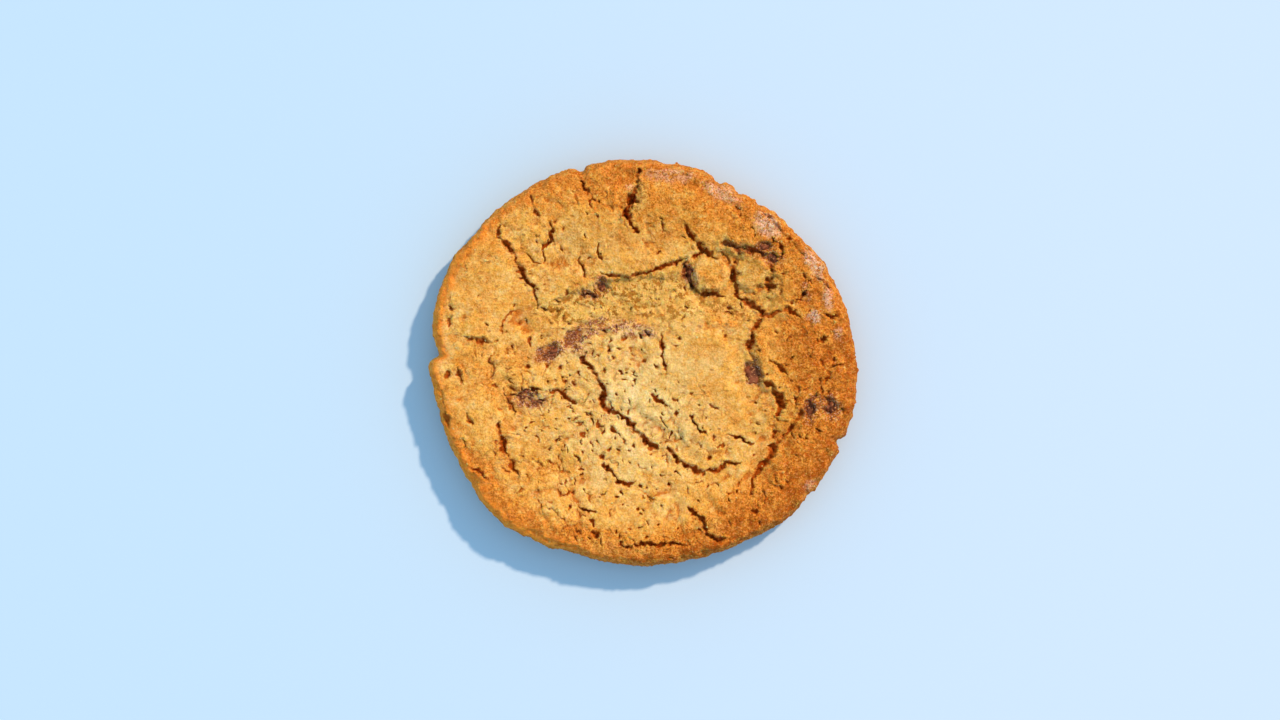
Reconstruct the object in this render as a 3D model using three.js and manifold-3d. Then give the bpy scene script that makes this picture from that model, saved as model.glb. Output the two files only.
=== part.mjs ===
// A chocolate chip cookie lying flat, face up: one baked piece, in millimetres, with +Z up. The origin is
// under its middle, on the surface that it rests on. +X runs to the right and +Y away from the viewer.
import * as THREE from "three";
import { ImprovedNoise } from "three/addons/math/ImprovedNoise.js";
import { mergeVertices } from "three/addons/utils/BufferGeometryUtils.js";
import Module from "manifold-3d";

// Driving sizes of the round
const MEAN_RADIUS = 40.6; // the outline before its lobes
const RIM_HEIGHT = 9.7; // the raised rim's crest
const MIDDLE_HEIGHT = 8.1; // the sunken middle
const RIM_WIDTH = 17; // from the outline to the sunken middle
const WALL_HEIGHT = 4.2; // where the wall stands out furthest
const SHOULDER = 2.2; // the wall rounds over into the rim across this width
const RIM_CREST = 6; // the rim starts to sink this far inside the outline
const SHOULDER_POWER = 2.6; // 2 is a quarter ellipse, and more is squarer
const FOOT_RINGS = [ // the wall's underside: how far inside the outline, and how high
  { inset: 0.8, height: 1.1 },
  { inset: 2.4, height: 0 },
];

// How finely the round is faceted
const GRID = 34; // squares across the top
const GRID_INSET = 3; // the top's squares stop this far inside the outline
const SHOULDER_INSETS = [1.4, 0.6, 0.12, 0]; // rings from the top's edge down to the wall's widest part
const STEP = 2.1; // between two sections of a crack
const LUMP_FACETS = [9, 5]; // round a chip, and from its top to its bottom

// The outline: where it stands out or in, by bearing and spread in degrees, and by how much
const LOBES = [
  { at: 57, spread: 14, out: -1.3 },
  { at: 155, spread: 38, out: 2.5 },
  { at: 222, spread: 20, out: 1.8 },
  { at: 272, spread: 30, out: -0.6 },
  { at: 312, spread: 8, out: 0.6 },
  { at: 348, spread: 32, out: 2.1 },
  { at: 40, spread: 5, out: -0.4 },
  { at: 86, spread: 9, out: -0.35 },
  { at: 141, spread: 7, out: -0.5 },
  { at: 212, spread: 7, out: -0.6 },
  { at: 250, spread: 6, out: -0.5 },
  { at: 321, spread: 6, out: 0.4 },
];
// Nicks in the rim, each with a spread before its bearing and one after it
const NICKS = [
  { at: 54.5, before: 1.5, after: 1.5, out: -0.5 },
  { at: 61, before: 1.6, after: 1.6, out: -0.7 },
  { at: 67.5, before: 1.5, after: 2, out: -0.9 },
  { at: 107.5, before: 1.2, after: 2.2, out: -0.9 },
  { at: 177.6, before: 4.5, after: 1.2, out: -1.9 },
  { at: 181, before: 1.6, after: 4, out: 0.5 },
  { at: 321, before: 2, after: 2, out: -0.4 },
  { at: 338.3, before: 1.6, after: 1.2, out: -1.1 },
];
const EDGE_ROUGHNESS = { every: 2.6, height: 0.22 };

// Broad relief of the top: sunken crumb, and the crust plates that stand proud, as turned ovals
const OVALS = [
  { at: [-4, 12.5], half: [16, 4.4], turn: 10, rise: -1.1 }, // crumb below the top plate
  { at: [17.5, 15.5], half: [10, 6.6], turn: -12, rise: -0.9 }, // crumb round the two islands
  { at: [20.6, -1.5], half: [2.8, 7], turn: 8, rise: -0.7 }, // beside the right plate
  { at: [-18, 3.5], half: [8, 3], turn: 28, rise: -0.5 }, // over the melted chips
  { at: [2.5, -15], half: [15, 3], turn: -38, rise: -0.6 }, // along the long crack
  { at: [25.5, -16.5], half: [3, 9], turn: -32, rise: -0.7 }, // inside the lower right rim
  { at: [-26.5, -8], half: [2.6, 6], turn: 12, rise: -0.6 }, // inside the left rim
  { at: [-3, 34], half: [2.6, 4.2], turn: 0, rise: -0.7 }, // the split in the top rim
  { at: [13.4, 17.6], half: [3.7, 3.3], turn: 0, rise: 1.2 }, // left island
  { at: [21, 18.2], half: [3.2, 3.5], turn: 10, rise: 1.2 }, // right island
  { at: [28.5, 1], half: [7, 7.5], turn: 0, rise: 0.5 }, // right plate
  { at: [0, 27.5], half: [15, 8.5], turn: 6, rise: 0.5 }, // top plate
  { at: [-32, 15], half: [6.5, 10], turn: -20, rise: 0.4 }, // left plate
];
const OVAL_EDGE = [0.75, 1.15]; // an oval's edge slopes from here to here, as shares of its size
const SWELLS = [ // soft unevenness all over
  { every: 13, height: 0.45 },
  { every: 4.2, height: 0.26 },
];

// Cracks in the crust: a path through a few points, the width at its widest, and the depth
const CRACKS = [
  // the top rim and the top left
  {
    path: [[-1.4, 38.6], [-1.3, 36], [-1.9, 33.4], [-3.6, 30.6], [-2.8, 28.2], [-1.6, 26.3]],
    width: 1.7, depth: 2.2,
  },
  { path: [[-13, 37], [-12, 35.5], [-11.2, 33.4]], width: 0.6, depth: 1 },
  { path: [[-9.6, 34], [-10.2, 31.8], [-11, 29.5]], width: 0.7, depth: 1 },
  { path: [[-18.8, 28.2], [-17.6, 26.6], [-19.1, 24], [-20, 20.2]], width: 1, depth: 1.6 },
  // the left side
  {
    path: [[-28.4, 27.4], [-28.1, 25], [-25.3, 21.4], [-24.4, 18.2], [-22.2, 15.3], [-20.7, 10.6]],
    width: 1.5, depth: 1.7,
  },
  {
    path: [[-25.3, 10.6], [-27.2, 9.6], [-28.2, 5.8], [-30, 4.4], [-32.6, 4.7], [-35.2, 5.3]],
    width: 0.8, depth: 1,
  },
  { path: [[-38.4, 13.2], [-38.1, 10.2], [-38.7, 7.2]], width: 0.8, depth: 1.2 },
  // round the sunken crumb and the two islands
  { path: [[-8.7, 18], [-5, 17.4], [-0.5, 17.7], [3.6, 19.4], [8.6, 21]], width: 1.1, depth: 1.5 },
  { path: [[-13.2, 14.6], [-10.2, 13.3], [-8.8, 14.2]], width: 1, depth: 1.4 },
  { path: [[8, 27], [8.9, 26], [10.8, 24.4], [12, 22.4], [14.6, 21]], width: 1.1, depth: 1.6 },
  { path: [[15.6, 24], [18.4, 23.2], [21.8, 21.7], [25.2, 20.2]], width: 1.9, depth: 1.9 },
  { path: [[15.6, 22], [17.4, 20.2], [18, 17.4], [18.5, 13.4]], width: 1.4, depth: 1.7 },
  { path: [[10, 15.2], [11.2, 13.9], [13.8, 14.1], [16, 13.2]], width: 1, depth: 1.5 },
  { path: [[18.6, 13.6], [21.6, 11.5], [24.4, 9.5], [28.4, 10.6], [31.2, 9.3]], width: 1.5, depth: 1.8 },
  // the right side, round its plate
  { path: [[32.7, 16.2], [32, 14.4], [31.1, 11.9]], width: 1.1, depth: 1.5 },
  { path: [[23.8, 9.6], [21.7, 6], [21.3, 3], [21.6, 0.4]], width: 1.2, depth: 1.6 },
  { path: [[22.6, -3.2], [25.2, -4.3], [27.2, -7], [27, -9.6]], width: 1.6, depth: 2.4 },
  { path: [[24.8, 0.8], [26.4, 0], [28.4, -1.9]], width: 0.8, depth: 1.2 },
  { path: [[35.3, 4.2], [36.4, 5.4], [37.6, 6.1]], width: 0.9, depth: 1.3 },
  // the lower right
  {
    path: [[31.4, -9.6], [30.4, -11.7], [27.2, -15], [25, -18.7], [22.2, -21.7], [21.2, -25.6]],
    width: 1.2, depth: 1.6,
  },
  { path: [[17, -14.2], [19.2, -15], [22, -16]], width: 0.8, depth: 1.2 },
  { path: [[9, -10], [10.6, -12.5], [13.3, -15]], width: 0.8, depth: 1.2 },
  // the long crack across the middle and the short ones beside it
  {
    path: [[-11.3, 2.4], [-12, 0.7], [-9.6, -2], [-8.1, -4.6], [-7.8, -8.3], [-4.5, -10.2]],
    width: 1.5, depth: 1.8,
  },
  { path: [[-3.4, -10.8], [-1.9, -13], [0.8, -15.4], [3, -16.6]], width: 1.9, depth: 2.2 },
  {
    path: [[4.6, -16.6], [6.9, -19], [10.6, -21], [13.8, -21.4], [16.6, -19.9], [19.4, -19.4]],
    width: 1.2, depth: 1.6,
  },
  { path: [[3.9, 6.1], [3.6, 2], [4.6, -2.9]], width: 0.9, depth: 1.4 },
  { path: [[-6.5, 5.1], [-6.7, 3.2], [-7.2, 1.8]], width: 0.8, depth: 1.2 },
  { path: [[1.7, -6], [3.2, -7.4], [6, -9.2]], width: 0.9, depth: 1.2 },
  // the lower left
  { path: [[-27.6, -6.1], [-25, -5.9], [-22.4, -4.9], [-20.2, -5.2]], width: 1, depth: 1.4 },
  { path: [[-18.9, -5.6], [-16.6, -5.5], [-13.6, -7.8]], width: 1.2, depth: 1.5 },
  { path: [[-29.6, -10.4], [-27.9, -14.4], [-26.5, -19.2], [-24.4, -22.8]], width: 1.1, depth: 1.4 },
  { path: [[-37, -0.7], [-36.3, -4.4]], width: 0.8, depth: 1.2 },
  { path: [[-8.6, -19.4], [-5.8, -22], [-3.9, -23.7], [-1.6, -23.3]], width: 1, depth: 1.4 },
  { path: [[-13.6, -27.5], [-11.4, -28.9], [-9, -29.8]], width: 0.7, depth: 1.1 },
  { path: [[-35.6, -20], [-33, -21.8], [-31.2, -22.9]], width: 0.8, depth: 1.2 },
  // the bottom rim
  { path: [[-5.2, -35.8], [-2.4, -36], [3.2, -35.7], [8.8, -36]], width: 0.9, depth: 1.3 },
  {
    path: [[8.7, -28.6], [11.7, -30.8], [12.2, -33.4], [15.4, -34.8], [18.6, -34.3]],
    width: 1.3, depth: 1.7,
  },
];
const CRACK_OVER = 0.9; // how far a crack's cutter reaches above the crust
const CRACK_TIP = 0.2; // the width at its two ends
const CRACK_TIP_DEPTH = 0.4; // the depth there, as a share of the greatest
const CRACK_TAPER_START = 0.25; // the taper starts this share of a step inside each end
const CRACK_WANDER = { every: 2.3, aside: 0.45, width: 0.35 };

// Chocolate that shows: melted chips, each sitting in a hollow of its own in the crust
const CHIPS = [
  { at: [21.9, -1.9], half: [1.3, 2.3], turn: 6, below: 0.5 },
  { at: [9.2, 17.8], half: [1, 2.1], turn: 18, below: 0.4 },
  { at: [23.6, 23.2], half: [1.3, 0.8], turn: 0, below: 0.4 },
  { at: [25.6, 20.9], half: [1.1, 0.9], turn: -40, below: 0.4 },
  { at: [-18.9, 2.3], half: [1.8, 1.1], turn: 20, below: 0 },
  { at: [-14, 5.2], half: [2.3, 1.3], turn: 32, below: 0 },
  { at: [-22.4, -7.2], half: [1.9, 1.4], turn: -20, below: 0.1 },
  { at: [-8.2, 15.4], half: [0.9, 1.3], turn: -25, below: 0.2 },
  { at: [33, -8.8], half: [1, 1.6], turn: 0, below: 0.3 },
  { at: [36.9, -9.1], half: [1.1, 2.1], turn: 14, below: 0.2 },
];
const CHIP_THICKNESS = 2.4;
const CHIP_GAP = 0.3; // the hollow's margin round a chip
const HOLLOW_DEPTH = 0.8; // how deep that hollow is beside the chip
const CHIP_UNEVEN = { every: 1.6, share: 0.45 }; // how a chip's outline wanders, as a share of its size

// Small pits, scattered by a seeded draw
const PITS = 44;
const PIT_SEED = 11;
// They crowd towards one side of the round: fewer of them are kept behind its start
const PIT_SIDE = { bearing: 240, few: 0.2, from: -20, to: 5 };
const PIT_RADIUS = [0.4, 0.8];
const PIT_DEPTH = 1.1;
const PIT_STRETCH = 1.7; // most pits are drawn out along one bearing
const PIT_BEARING = -58;
const PIT_SIDES = 5;
const PIT_CLEAR = 2.4; // between a pit and the next one, or a crack or chip
const PIT_INSET = 4; // from the outline

// Each kind of unevenness reads its own layer of the noise
const LAYERS = { edge: 0, swell: 5, crackAside: 9, crackWidth: 11 };
const WELD = 1e-4; // vertices closer than this are one
const CRUST_COLOR = 0xd9974a;
const CRUST_ROUGHNESS = 0.8;

const noise = new ImprovedNoise();
const degrees = THREE.MathUtils.degToRad;
const smooth = THREE.MathUtils.smoothstep;

// The difference between two bearings, from -180 to 180 degrees
const turnBetween = (a, b) => THREE.MathUtils.euclideanModulo(a - b + 180, 360) - 180;

// How far the outline is from the middle at a bearing in degrees
function outlineRadius(bearing) {
  let radius = MEAN_RADIUS;
  for (const { at, spread, out } of LOBES) {
    radius += out * Math.exp(-((turnBetween(bearing, at) / spread) ** 2));
  }
  for (const { at, before, after, out } of NICKS) {
    const turn = turnBetween(bearing, at);
    radius += out * Math.exp(-((turn / (turn < 0 ? before : after)) ** 2));
  }
  const x = (MEAN_RADIUS * Math.cos(degrees(bearing))) / EDGE_ROUGHNESS.every;
  const y = (MEAN_RADIUS * Math.sin(degrees(bearing))) / EDGE_ROUGHNESS.every;
  return radius + EDGE_ROUGHNESS.height * noise.noise(x, y, LAYERS.edge);
}

// 1 inside a turned oval, falling to 0 across its edge
function insideOval(x, y, { at, half, turn }) {
  const c = Math.cos(degrees(turn));
  const s = Math.sin(degrees(turn));
  const along = ((x - at[0]) * c + (y - at[1]) * s) / half[0];
  const across = ((y - at[1]) * c - (x - at[0]) * s) / half[1];
  return 1 - smooth(Math.hypot(along, across), ...OVAL_EDGE);
}

// The height of the top at a point, with the rim, the rounded shoulder and the broad relief
function topHeight(x, y) {
  const inset = outlineRadius(THREE.MathUtils.radToDeg(Math.atan2(y, x))) - Math.hypot(x, y);
  let height = RIM_HEIGHT - (RIM_HEIGHT - MIDDLE_HEIGHT) * smooth(inset, RIM_CREST, RIM_WIDTH);
  for (const oval of OVALS) height += oval.rise * insideOval(x, y, oval);
  for (const { every, height: swell } of SWELLS) {
    height += swell * noise.noise(x / every, y / every, LAYERS.swell);
  }
  const fall = 1 - Math.min(Math.max(inset, 0) / SHOULDER, 1);
  const shoulder = (1 - fall ** SHOULDER_POWER) ** (1 / SHOULDER_POWER);
  return WALL_HEIGHT + (height - WALL_HEIGHT) * shoulder;
}

// A point of the square from -1 to 1 as a bearing in degrees and a share of the way to the outline
function squareToRound(u, v) {
  if (u === 0 && v === 0) return { bearing: 0, share: 0 };
  const wide = Math.abs(u) > Math.abs(v);
  const bearing = wide ? 45 * (v / u) + (u < 0 ? 180 : 0) : 90 - 45 * (u / v) + (v < 0 ? 180 : 0);
  return { bearing, share: Math.max(Math.abs(u), Math.abs(v)) };
}

// The vertices of the square's edge, in order round the middle
function edgeOfSquare() {
  const edge = [];
  for (let i = 0; i < GRID; i++) edge.push([i, 0]);
  for (let i = 0; i < GRID; i++) edge.push([GRID, i]);
  for (let i = GRID; i > 0; i--) edge.push([i, GRID]);
  for (let i = GRID; i > 0; i--) edge.push([0, i]);
  return edge;
}

// The whole round without its cracks: a square net on the top, drawn out to the outline, then rings down
// the wall and a flat underside
function roundGeometry() {
  const points = [];
  const faces = [];
  const addPoint = (x, y, z) => points.push(x, y, z) / 3 - 1;
  const ringPoint = (bearing, inset) => {
    const radius = outlineRadius(bearing) - inset;
    return [radius * Math.cos(degrees(bearing)), radius * Math.sin(degrees(bearing))];
  };
  const net = [];
  for (let j = 0; j <= GRID; j++) {
    for (let i = 0; i <= GRID; i++) {
      const { bearing, share } = squareToRound((2 * i) / GRID - 1, (2 * j) / GRID - 1);
      const [x, y] = ringPoint(bearing, GRID_INSET).map((value) => value * share);
      net.push(addPoint(x, y, topHeight(x, y)));
    }
  }
  for (let j = 0; j < GRID; j++) {
    for (let i = 0; i < GRID; i++) {
      const [a, b] = [net[j * (GRID + 1) + i], net[j * (GRID + 1) + i + 1]];
      const [d, c] = [net[(j + 1) * (GRID + 1) + i], net[(j + 1) * (GRID + 1) + i + 1]];
      faces.push(a, b, c, a, c, d);
    }
  }
  const edge = edgeOfSquare();
  const bearings = edge.map(([i, j]) => squareToRound((2 * i) / GRID - 1, (2 * j) / GRID - 1).bearing);
  const rings = [edge.map(([i, j]) => net[j * (GRID + 1) + i])];
  for (const inset of SHOULDER_INSETS) {
    rings.push(bearings.map((bearing) => {
      const [x, y] = ringPoint(bearing, inset);
      return addPoint(x, y, topHeight(x, y));
    }));
  }
  for (const { inset, height } of FOOT_RINGS) {
    rings.push(bearings.map((bearing) => addPoint(...ringPoint(bearing, inset), height)));
  }
  for (let r = 0; r + 1 < rings.length; r++) {
    for (let k = 0; k < edge.length; k++) {
      const next = (k + 1) % edge.length;
      const [a, b, c, d] = [rings[r][k], rings[r + 1][k], rings[r + 1][next], rings[r][next]];
      faces.push(a, b, c, a, c, d);
    }
  }
  const foot = rings.at(-1);
  const middle = addPoint(0, 0, 0);
  foot.forEach((corner, k) => faces.push(foot[(k + 1) % foot.length], corner, middle));
  return new THREE.BufferGeometry()
    .setAttribute("position", new THREE.Float32BufferAttribute(points, 3))
    .setIndex(faces);
}

// A closed skin over a row of three-cornered sections
function loft(sections) {
  const faces = [];
  for (let s = 0; s + 1 < sections.length; s++) {
    for (let k = 0; k < 3; k++) {
      const next = (k + 1) % 3;
      const [a, b, c, d] = [3 * s + k, 3 * s + next, 3 * (s + 1) + next, 3 * (s + 1) + k];
      faces.push(a, b, c, a, c, d);
    }
  }
  const last = 3 * (sections.length - 1);
  faces.push(2, 1, 0, last, last + 1, last + 2);
  return new THREE.BufferGeometry()
    .setAttribute("position", new THREE.Float32BufferAttribute(sections.flat(2), 3))
    .setIndex(faces);
}

// The wedge that cuts one crack, wandering a little and tapering to its ends
function crackGeometry({ path, width, depth }) {
  const curve = new THREE.CatmullRomCurve3(path.map(([x, y]) => new THREE.Vector3(x, y, 0)));
  const steps = Math.max(3, Math.round(curve.getLength() / STEP));
  const sections = [];
  for (let s = 0; s <= steps; s++) {
    const middle = curve.getPointAt(s / steps);
    const along = curve.getTangentAt(s / steps);
    const aside = new THREE.Vector3(-along.y, along.x, 0);
    const way = (s + CRACK_TAPER_START) / (steps + 2 * CRACK_TAPER_START);
    const taper = Math.sqrt(Math.sin(Math.PI * way));
    const { x, y } = middle.clone().divideScalar(CRACK_WANDER.every);
    middle.addScaledVector(aside, CRACK_WANDER.aside * taper * noise.noise(x, y, LAYERS.crackAside));
    const uneven = 1 + CRACK_WANDER.width * noise.noise(2 * x, 2 * y, LAYERS.crackWidth);
    const half = (CRACK_TIP + (width - CRACK_TIP) * taper * uneven) / 2;
    const reach = depth * (CRACK_TIP_DEPTH + (1 - CRACK_TIP_DEPTH) * taper);
    const top = topHeight(middle.x, middle.y);
    const atTop = half * (1 + CRACK_OVER / reach);
    const corner = (side, height) => {
      const point = middle.clone().addScaledVector(aside, side);
      return [point.x, point.y, height];
    };
    sections.push([
      corner(atTop, top + CRACK_OVER),
      corner(-atTop, top + CRACK_OVER),
      corner(0, top - reach),
    ]);
  }
  return loft(sections);
}

// A low uneven lump at a place on the top, its middle at a depth below the crust
function lumpGeometry({ at, half, turn }, margin, thickness, below) {
  const lump = new THREE.SphereGeometry(1, ...LUMP_FACETS)
    .rotateX(Math.PI / 2)
    .scale(half[0] + margin, half[1] + margin, thickness / 2)
    .rotateZ(degrees(turn));
  const { position } = lump.attributes;
  for (let i = 0; i < position.count; i++) {
    const [x, y] = [position.getX(i), position.getY(i)];
    const bearing = Math.atan2(y, x);
    const wander = noise.noise(
      Math.cos(bearing) / CHIP_UNEVEN.every, Math.sin(bearing) / CHIP_UNEVEN.every, at[0] + at[1]);
    position.setXY(i, x * (1 + CHIP_UNEVEN.share * wander), y * (1 + CHIP_UNEVEN.share * wander));
  }
  return lump.translate(at[0], at[1], topHeight(...at) - below);
}

// A seeded draw from 0 to 1
function seededDraw(seed) {
  let state = seed;
  return () => {
    state = (state + 0x6d2b79f5) | 0;
    let mixed = Math.imul(state ^ (state >>> 15), 1 | state);
    mixed = (mixed + Math.imul(mixed ^ (mixed >>> 7), 61 | mixed)) ^ mixed;
    return ((mixed ^ (mixed >>> 14)) >>> 0) / 2 ** 32;
  };
}

// Places for the pits, clear of the cracks, the chips and each other
function pitPlaces() {
  const draw = seededDraw(PIT_SEED);
  const taken = CHIPS.map(({ at }) => at);
  for (const { path } of CRACKS) {
    const curve = new THREE.CatmullRomCurve3(path.map(([x, y]) => new THREE.Vector3(x, y, 0)));
    for (const { x, y } of curve.getSpacedPoints(Math.ceil(curve.getLength()))) taken.push([x, y]);
  }
  const places = [];
  while (places.length < PITS) {
    const bearing = 360 * draw();
    const radius = (outlineRadius(bearing) - PIT_INSET) * Math.sqrt(draw());
    const place = [radius * Math.cos(degrees(bearing)), radius * Math.sin(degrees(bearing))];
    const reach = radius * Math.cos(degrees(bearing - PIT_SIDE.bearing));
    const kept = PIT_SIDE.few + (1 - PIT_SIDE.few) * smooth(reach, PIT_SIDE.from, PIT_SIDE.to);
    if (draw() > kept) continue;
    if (taken.some(([x, y]) => Math.hypot(x - place[0], y - place[1]) < PIT_CLEAR)) continue;
    taken.push(place);
    places.push({ at: place, radius: PIT_RADIUS[0] + (PIT_RADIUS[1] - PIT_RADIUS[0]) * draw() ** 2 });
  }
  return places;
}

// The cone that cuts one pit, with its point in the dough
function pitGeometry({ at, radius }) {
  const height = PIT_DEPTH + CRACK_OVER;
  const wide = (radius * height) / PIT_DEPTH;
  return new THREE.ConeGeometry(wide, height, PIT_SIDES)
    .rotateX(-Math.PI / 2)
    .scale(PIT_STRETCH, 1, 1)
    .rotateZ(degrees(PIT_BEARING))
    .translate(at[0], at[1], topHeight(...at) + CRACK_OVER - height / 2);
}

const wasm = await Module();
wasm.setup();

// A closed geometry as a solid
function solidOf(geometry) {
  const bare = geometry.clone();
  bare.deleteAttribute("normal");
  bare.deleteAttribute("uv");
  const merged = mergeVertices(bare, WELD);
  return new wasm.Manifold(new wasm.Mesh({
    numProp: 3,
    vertProperties: merged.attributes.position.array,
    triVerts: new Uint32Array(merged.index.array),
  }));
}

// The baked round: cracked and pitted, with the chips fused into their hollows
function cookieSolid() {
  let solid = solidOf(roundGeometry());
  for (const crack of CRACKS) solid = solid.subtract(solidOf(crackGeometry(crack)));
  for (const pit of pitPlaces()) solid = solid.subtract(solidOf(pitGeometry(pit)));
  for (const chip of CHIPS) {
    solid = solid.subtract(solidOf(lumpGeometry(chip, CHIP_GAP, 2 * HOLLOW_DEPTH, 0)));
    solid = solid.add(solidOf(lumpGeometry(chip, 0, CHIP_THICKNESS, chip.below + CHIP_THICKNESS / 2)));
  }
  return solid;
}

// A solid as a geometry, with its outline's middle over the origin
function centredGeometry(solid) {
  const { vertProperties, triVerts } = solid.getMesh();
  const geometry = new THREE.BufferGeometry()
    .setAttribute("position", new THREE.Float32BufferAttribute(vertProperties, 3))
    .setIndex(new THREE.BufferAttribute(new Uint32Array(triVerts), 1));
  geometry.computeBoundingBox();
  const middle = geometry.boundingBox.getCenter(new THREE.Vector3());
  geometry.translate(-middle.x, -middle.y, -geometry.boundingBox.min.z);
  geometry.computeVertexNormals();
  return geometry;
}

const crust = new THREE.MeshStandardMaterial({
  color: CRUST_COLOR, roughness: CRUST_ROUGHNESS, metalness: 0,
});
const cookie = new THREE.Mesh(centredGeometry(cookieSolid()), crust);
cookie.name = "cookie";

const part = new THREE.Group();
part.add(cookie);

export default part;
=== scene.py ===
"""The looks of a chocolate chip cookie that lies face up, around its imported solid.

Sizes are worked out in millimetres and set into the meshes in metres. +Z is up, +X is to the right and +Y is
away from a viewer who stands in front of it.
"""

import logging
import math
from dataclasses import dataclass, field
from enum import Enum
from functools import cached_property

import bmesh
import bpy
import numpy as np
from mathutils import Euler, Matrix, Vector, noise


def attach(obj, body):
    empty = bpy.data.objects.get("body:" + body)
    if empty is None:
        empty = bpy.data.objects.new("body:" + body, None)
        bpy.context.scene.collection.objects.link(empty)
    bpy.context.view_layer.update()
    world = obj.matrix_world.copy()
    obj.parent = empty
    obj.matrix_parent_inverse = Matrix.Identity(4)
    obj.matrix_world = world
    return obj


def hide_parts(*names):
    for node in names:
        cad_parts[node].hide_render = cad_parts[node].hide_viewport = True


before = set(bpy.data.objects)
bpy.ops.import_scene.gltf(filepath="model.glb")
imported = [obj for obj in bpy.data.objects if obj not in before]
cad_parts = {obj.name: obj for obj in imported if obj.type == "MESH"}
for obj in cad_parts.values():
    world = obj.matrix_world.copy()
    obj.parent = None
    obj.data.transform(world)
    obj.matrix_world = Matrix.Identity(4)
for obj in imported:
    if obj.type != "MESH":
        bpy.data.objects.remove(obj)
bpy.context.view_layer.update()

LOG = logging.getLogger("cookie")
MM = 0.001
BODY = "root"
NODE = "cookie"
Pair = tuple[float, float]
Colour = tuple[float, float, float]
# How far ragged edges stray, and how long each stray is, in millimetres
RAGGED_STEPS = ((0.62, 2.1), (0.34, 0.8))
# The plates that the crust has parted into: their size, how far they stand out or in, and how deep and wide
# the creases between them are, in millimetres
PLATE_STEPS = ((5.4, 0.26, 0.34, 0.7), (2.7, 0.13, 0.2, 0.45))
# The size of the squares that heights are averaged in, and how far around and how deep a hollow counts, in
# millimetres; they set the painted warm shade in hollows and the painted highlight on ridges
HOLLOW_STEP = 0.3
HOLLOWS = ((0.8, 1.6), (2.4, 3.2))
# Spreads the middles of cells far apart where their shared number is read
CELL_SPREAD = 57.0


class Mask(Enum):
    """The vertex attributes that the finishes read."""

    BAKE = "bake"
    # How deep in a crack, pit, crease, pore or crumb gap a point is; it sets painted shade over the darker
    # crumb there
    HOLE_SHADE = "crack"
    CRUMB = "crumb"
    SMEAR = "smear"
    # Where sugar grains sit and pinkish-white painted glints are laid
    SUGAR_AND_GLINT = "sugar_and_glint"
    # Sets the painted warm shade in hollows and the painted highlight on ridges
    HOLLOW = "hollow"
    # Where painted light turns the shaded left edge a lit orange
    EDGE = "edge"


class Slot(Enum):
    """The record's material slots."""

    CRUST = "crust"
    CHOCOLATE = "chocolate"


class Layer(Enum):
    """Where each kind of unevenness reads the noise, so that no two of them repeat each other."""

    EDGE = 3.0
    SWELL = 11.0
    CRUMB = 23.0
    CRUMB_CELL = 31.0
    CRACK_SIDE = 43.0
    CRACK_WIDTH = 57.0
    WALL = 71.0
    TOAST = 91.0
    CHIP = 103.0
    UNDERSIDE = 113.0
    RAGGED = 127.0
    CRUMB_HOLE = 139.0
    FLAKE = 151.0
    PLATE = 163.0


def smooth(value: np.ndarray, low: float, high: float) -> np.ndarray:
    """Rise from 0 to 1 in an S between two values.

    Args:
        value: The values to place on the rise.
        low: Where the rise starts.
        high: Where it ends.

    Returns:
        The share of the rise at each value.
    """
    share = np.clip((value - low) / (high - low), 0.0, 1.0)
    return share * share * (3.0 - 2.0 * share)


def fractal(points: np.ndarray, every: float, layer: Layer, octaves: int = 2) -> np.ndarray:
    """Read soft noise at a row of points.

    Args:
        points: The points in millimetres, two or three numbers each.
        every: The size of the largest bumps in millimetres.
        layer: Where in the noise to read.
        octaves: How many finer noises are added.

    Returns:
        One value for each point, mostly from -1 to 1.
    """
    scaled = np.column_stack((points, np.zeros(len(points)))) if points.shape[1] == 2 else points
    scaled = scaled / every + layer.value
    return np.array([noise.fractal(Vector(point), 1.0, 2.0, octaves) for point in scaled.tolist()])


def cells(points: np.ndarray, every: float, layer: Layer) -> tuple[np.ndarray, np.ndarray, np.ndarray]:
    """Measure the way to the nearest two of many scattered cell middles.

    Args:
        points: The points in millimetres, three numbers each.
        every: The size of a cell in millimetres.
        layer: Where in the noise to read.

    Returns:
        The distances to the nearest and the second nearest middle, in cells, and a number from -1 to 1 that
        all points of a cell share.
    """
    scaled = points / every + layer.value
    found = [noise.voronoi(Vector(point)) for point in scaled.tolist()]
    near = np.sqrt(np.array([distances[:2] for distances, _ in found]))
    shared = np.array([noise.cell(middles[0] * CELL_SPREAD) for _, middles in found])
    return near[:, 0], near[:, 1], shared


def ragged(places: np.ndarray) -> np.ndarray:
    """Move places on the top a little way, so that what is measured from them has a ragged edge.

    Args:
        places: Places on the top, x and y in millimetres.

    Returns:
        The moved places.
    """
    moved = places.copy()
    for amount, every in RAGGED_STEPS:
        for axis, apart in enumerate((0.0, 37.0)):
            moved[:, axis] += amount * fractal(places + apart, every, Layer.RAGGED)
    return moved


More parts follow.
